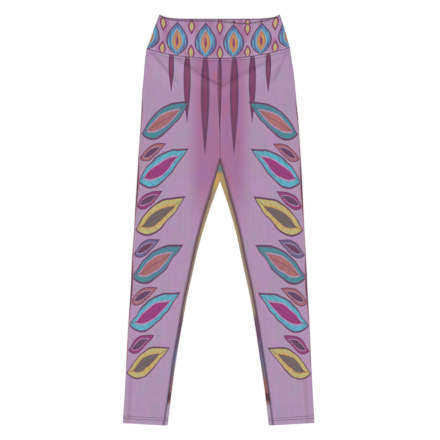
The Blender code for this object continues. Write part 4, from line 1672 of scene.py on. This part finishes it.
def floor_finish(colour):
    """A matt pale floor with a faint unevenness."""
    darkest = 0.985
    material, graph, shader = new_material("studio_floor", 0.0, roughness=0.85)
    cloudy = graph.noise(graph.object_place(), (3, 3, 3), detail=3.0)
    colour = graph.mix(cloudy, colour, tuple(c * darkest for c in colour))
    graph.feed(shader.inputs["Base Color"], colour)
    return material


# ---------------------------------------------------------------- floor, light and camera
FLOOR_DROP = 0.15  # millimetres from the cloth down to the floor
FLOOR_TILES = 8  # along each side
KEY_PLACE = (0.0, -1.97, 2.4)
VIEW_CENTRE = (0.002, 0.0008)
SENSOR_WIDTH = 36.0


def floor_sheet(stage):
    """The floor just below the cloth: a square grid of quads."""
    even = np.linspace(-0.5, 0.5, FLOOR_TILES + 1) * stage.floor_size / MM
    x, y = np.meshgrid(even, even)
    points = np.stack([x, y, np.full_like(x, -FLOOR_DROP)], axis=-1).reshape(-1, 3)
    index = np.arange(x.size).reshape(x.shape)
    corners = [index[:-1, :-1], index[:-1, 1:], index[1:, 1:], index[1:, :-1]]
    faces = np.stack(corners, axis=-1).reshape(-1, 4)
    mesh = make_mesh("floor", points, faces, {}, points[:, :2])
    return add_object("floor", mesh, floor_finish(stage.floor_colour))


def key_light(scene, stage):
    """One big soft lamp, turned so that it shines from its place to the object's middle."""
    lamp = bpy.data.lights.new("soft_key", "SUN")
    lamp.energy = stage.key_strength
    lamp.angle = stage.key_spread
    key = bpy.data.objects.new("soft_key", lamp)
    key.location = KEY_PLACE
    key.rotation_euler = key.location.to_track_quat("Z", "Y").to_euler()
    scene.collection.objects.link(key)


def surroundings(scene, stage):
    """White surroundings that light the cloth evenly and look as white as the floor."""
    world = bpy.data.worlds.new("white_surroundings")
    world.use_nodes = True
    sky = Graph(world.node_tree)
    seen = sky.node("LightPath").outputs["Is Camera Ray"]
    strength = sky.math("MULTIPLY_ADD", seen, 1.0 - stage.ambient, stage.ambient)
    backdrop = world.node_tree.nodes["Background"]
    backdrop.inputs["Color"].default_value = (1.0, 1.0, 1.0, 1.0)
    sky.feed(backdrop.inputs["Strength"], strength)
    scene.world = world
    scene.view_settings.view_transform = "Standard"


def overhead_camera(scene, stage):
    """A camera straight above, as far off as its lens needs for the view's width."""
    lens = bpy.data.cameras.new("overhead")
    lens.lens = stage.lens
    lens.sensor_width = SENSOR_WIDTH
    camera = bpy.data.objects.new("overhead", lens)
    camera.location = (*VIEW_CENTRE, stage.view_width * stage.lens / SENSOR_WIDTH)
    camera.rotation_euler = (0.0, 0.0, stage.roll)
    scene.collection.objects.link(camera)
    scene.camera = camera


# ---------------------------------------------------------------- operators
def lay_down(piece, node):
    """Attach a piece of cloth to the root body and hide the part of model.glb that it stands for.
    """
    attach(piece, "root")
    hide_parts(node)


class LEGGINGS_OT_legs(bpy.types.Operator):
    """Make both leg panels with their threads."""

    bl_idname = "leggings.legs"
    bl_label = "Leg panels and threads"

    def execute(self, context):
        scene = context.scene
        cloth, thread = scene.leggings_cloth, scene.leggings_thread
        knit = leg_knit(scene.leggings_print, thread.pitch)
        yarn = sewing_thread(thread.colour)
        for side, name in ((1, "left"), (-1, "right")):
            stitches = leg_threads(side, f"threads_{name}", thread, yarn)
            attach(stitches, "root")
            leg, area = leg_panel(side, f"leg_panel_{name}", cloth, knit)
            lay_down(leg, f"leg_{name}")
        return {"FINISHED"}


class LEGGINGS_OT_waistband(bpy.types.Operator):
    """Make the waistband: its front, its back and the back's facing."""

    bl_idname = "leggings.waistband"
    bl_label = "Waistband"

    def execute(self, context):
        scene = context.scene
        cloth, ink = scene.leggings_cloth, scene.leggings_print
        # painted shade along the band's folded edges, darker on the facing
        knit = band_knit(ink, "band_knit", fold_ink=0.4)
        inner_knit = band_knit(ink, "facing_knit", fold_ink=0.6)
        front, area = waistband_front(cloth, knit)
        lay_down(front, "waistband_front")
        back, area = waistband_back(knit)
        lay_down(back, "waistband_back")
        facing, area = waistband_facing(inner_knit)
        lay_down(facing, "waistband_facing")
        return {"FINISHED"}


class LEGGINGS_OT_gusset(bpy.types.Operator):
    """Make the gusset folded over the crotch."""

    bl_idname = "leggings.gusset"
    bl_label = "Gusset"

    def execute(self, context):
        scene = context.scene
        piece, area = gusset_piece(scene.leggings_cloth, gusset_knit(scene.leggings_print))
        lay_down(piece, "gusset")
        return {"FINISHED"}


class LEGGINGS_OT_stage(bpy.types.Operator):
    """Make the floor, the light and the camera straight above."""

    bl_idname = "leggings.stage"
    bl_label = "Floor, light and camera"

    def execute(self, context):
        """Lays the floor, lights the cloth and aims the camera."""
        stage = context.scene.leggings_stage
        floor_sheet(stage)
        key_light(context.scene, stage)
        surroundings(context.scene, stage)
        overhead_camera(context.scene, stage)
        return {"FINISHED"}


class LEGGINGS_PT_panel(bpy.types.Panel):
    """The leggings' pieces and settings."""

    bl_idname = "LEGGINGS_PT_panel"
    bl_label = "Laid leggings"
    bl_space_type = "VIEW_3D"
    bl_region_type = "UI"
    bl_category = "Leggings"

    def draw(self, context):
        """Lists the operators, then each group of settings."""
        for step in OPERATORS:
            self.layout.operator(step.bl_idname)
        for name, kind in SETTINGS.items():
            box = self.layout.box()
            box.label(text=kind.__doc__)
            for key in kind.__annotations__:
                box.prop(getattr(context.scene, name), key)


OPERATORS = (LEGGINGS_OT_legs, LEGGINGS_OT_waistband, LEGGINGS_OT_gusset, LEGGINGS_OT_stage)
CLASSES = (*SETTINGS.values(), *OPERATORS, LEGGINGS_PT_panel)


def register():
    """Register the classes and hang the settings on the scene."""
    for kind in CLASSES:
        bpy.utils.register_class(kind)
    for name, kind in SETTINGS.items():
        setattr(bpy.types.Scene, name, bpy.props.PointerProperty(type=kind))


def unregister():
    """Undo register."""
    for name in SETTINGS:
        delattr(bpy.types.Scene, name)
    for kind in reversed(CLASSES):
        bpy.utils.unregister_class(kind)


def main():
    """Register, then make every piece and the stage."""
    register()
    for step in OPERATORS:
        family, name = step.bl_idname.split(".")
        getattr(getattr(bpy.ops, family), name)()


if __name__ == "__main__":
    main()
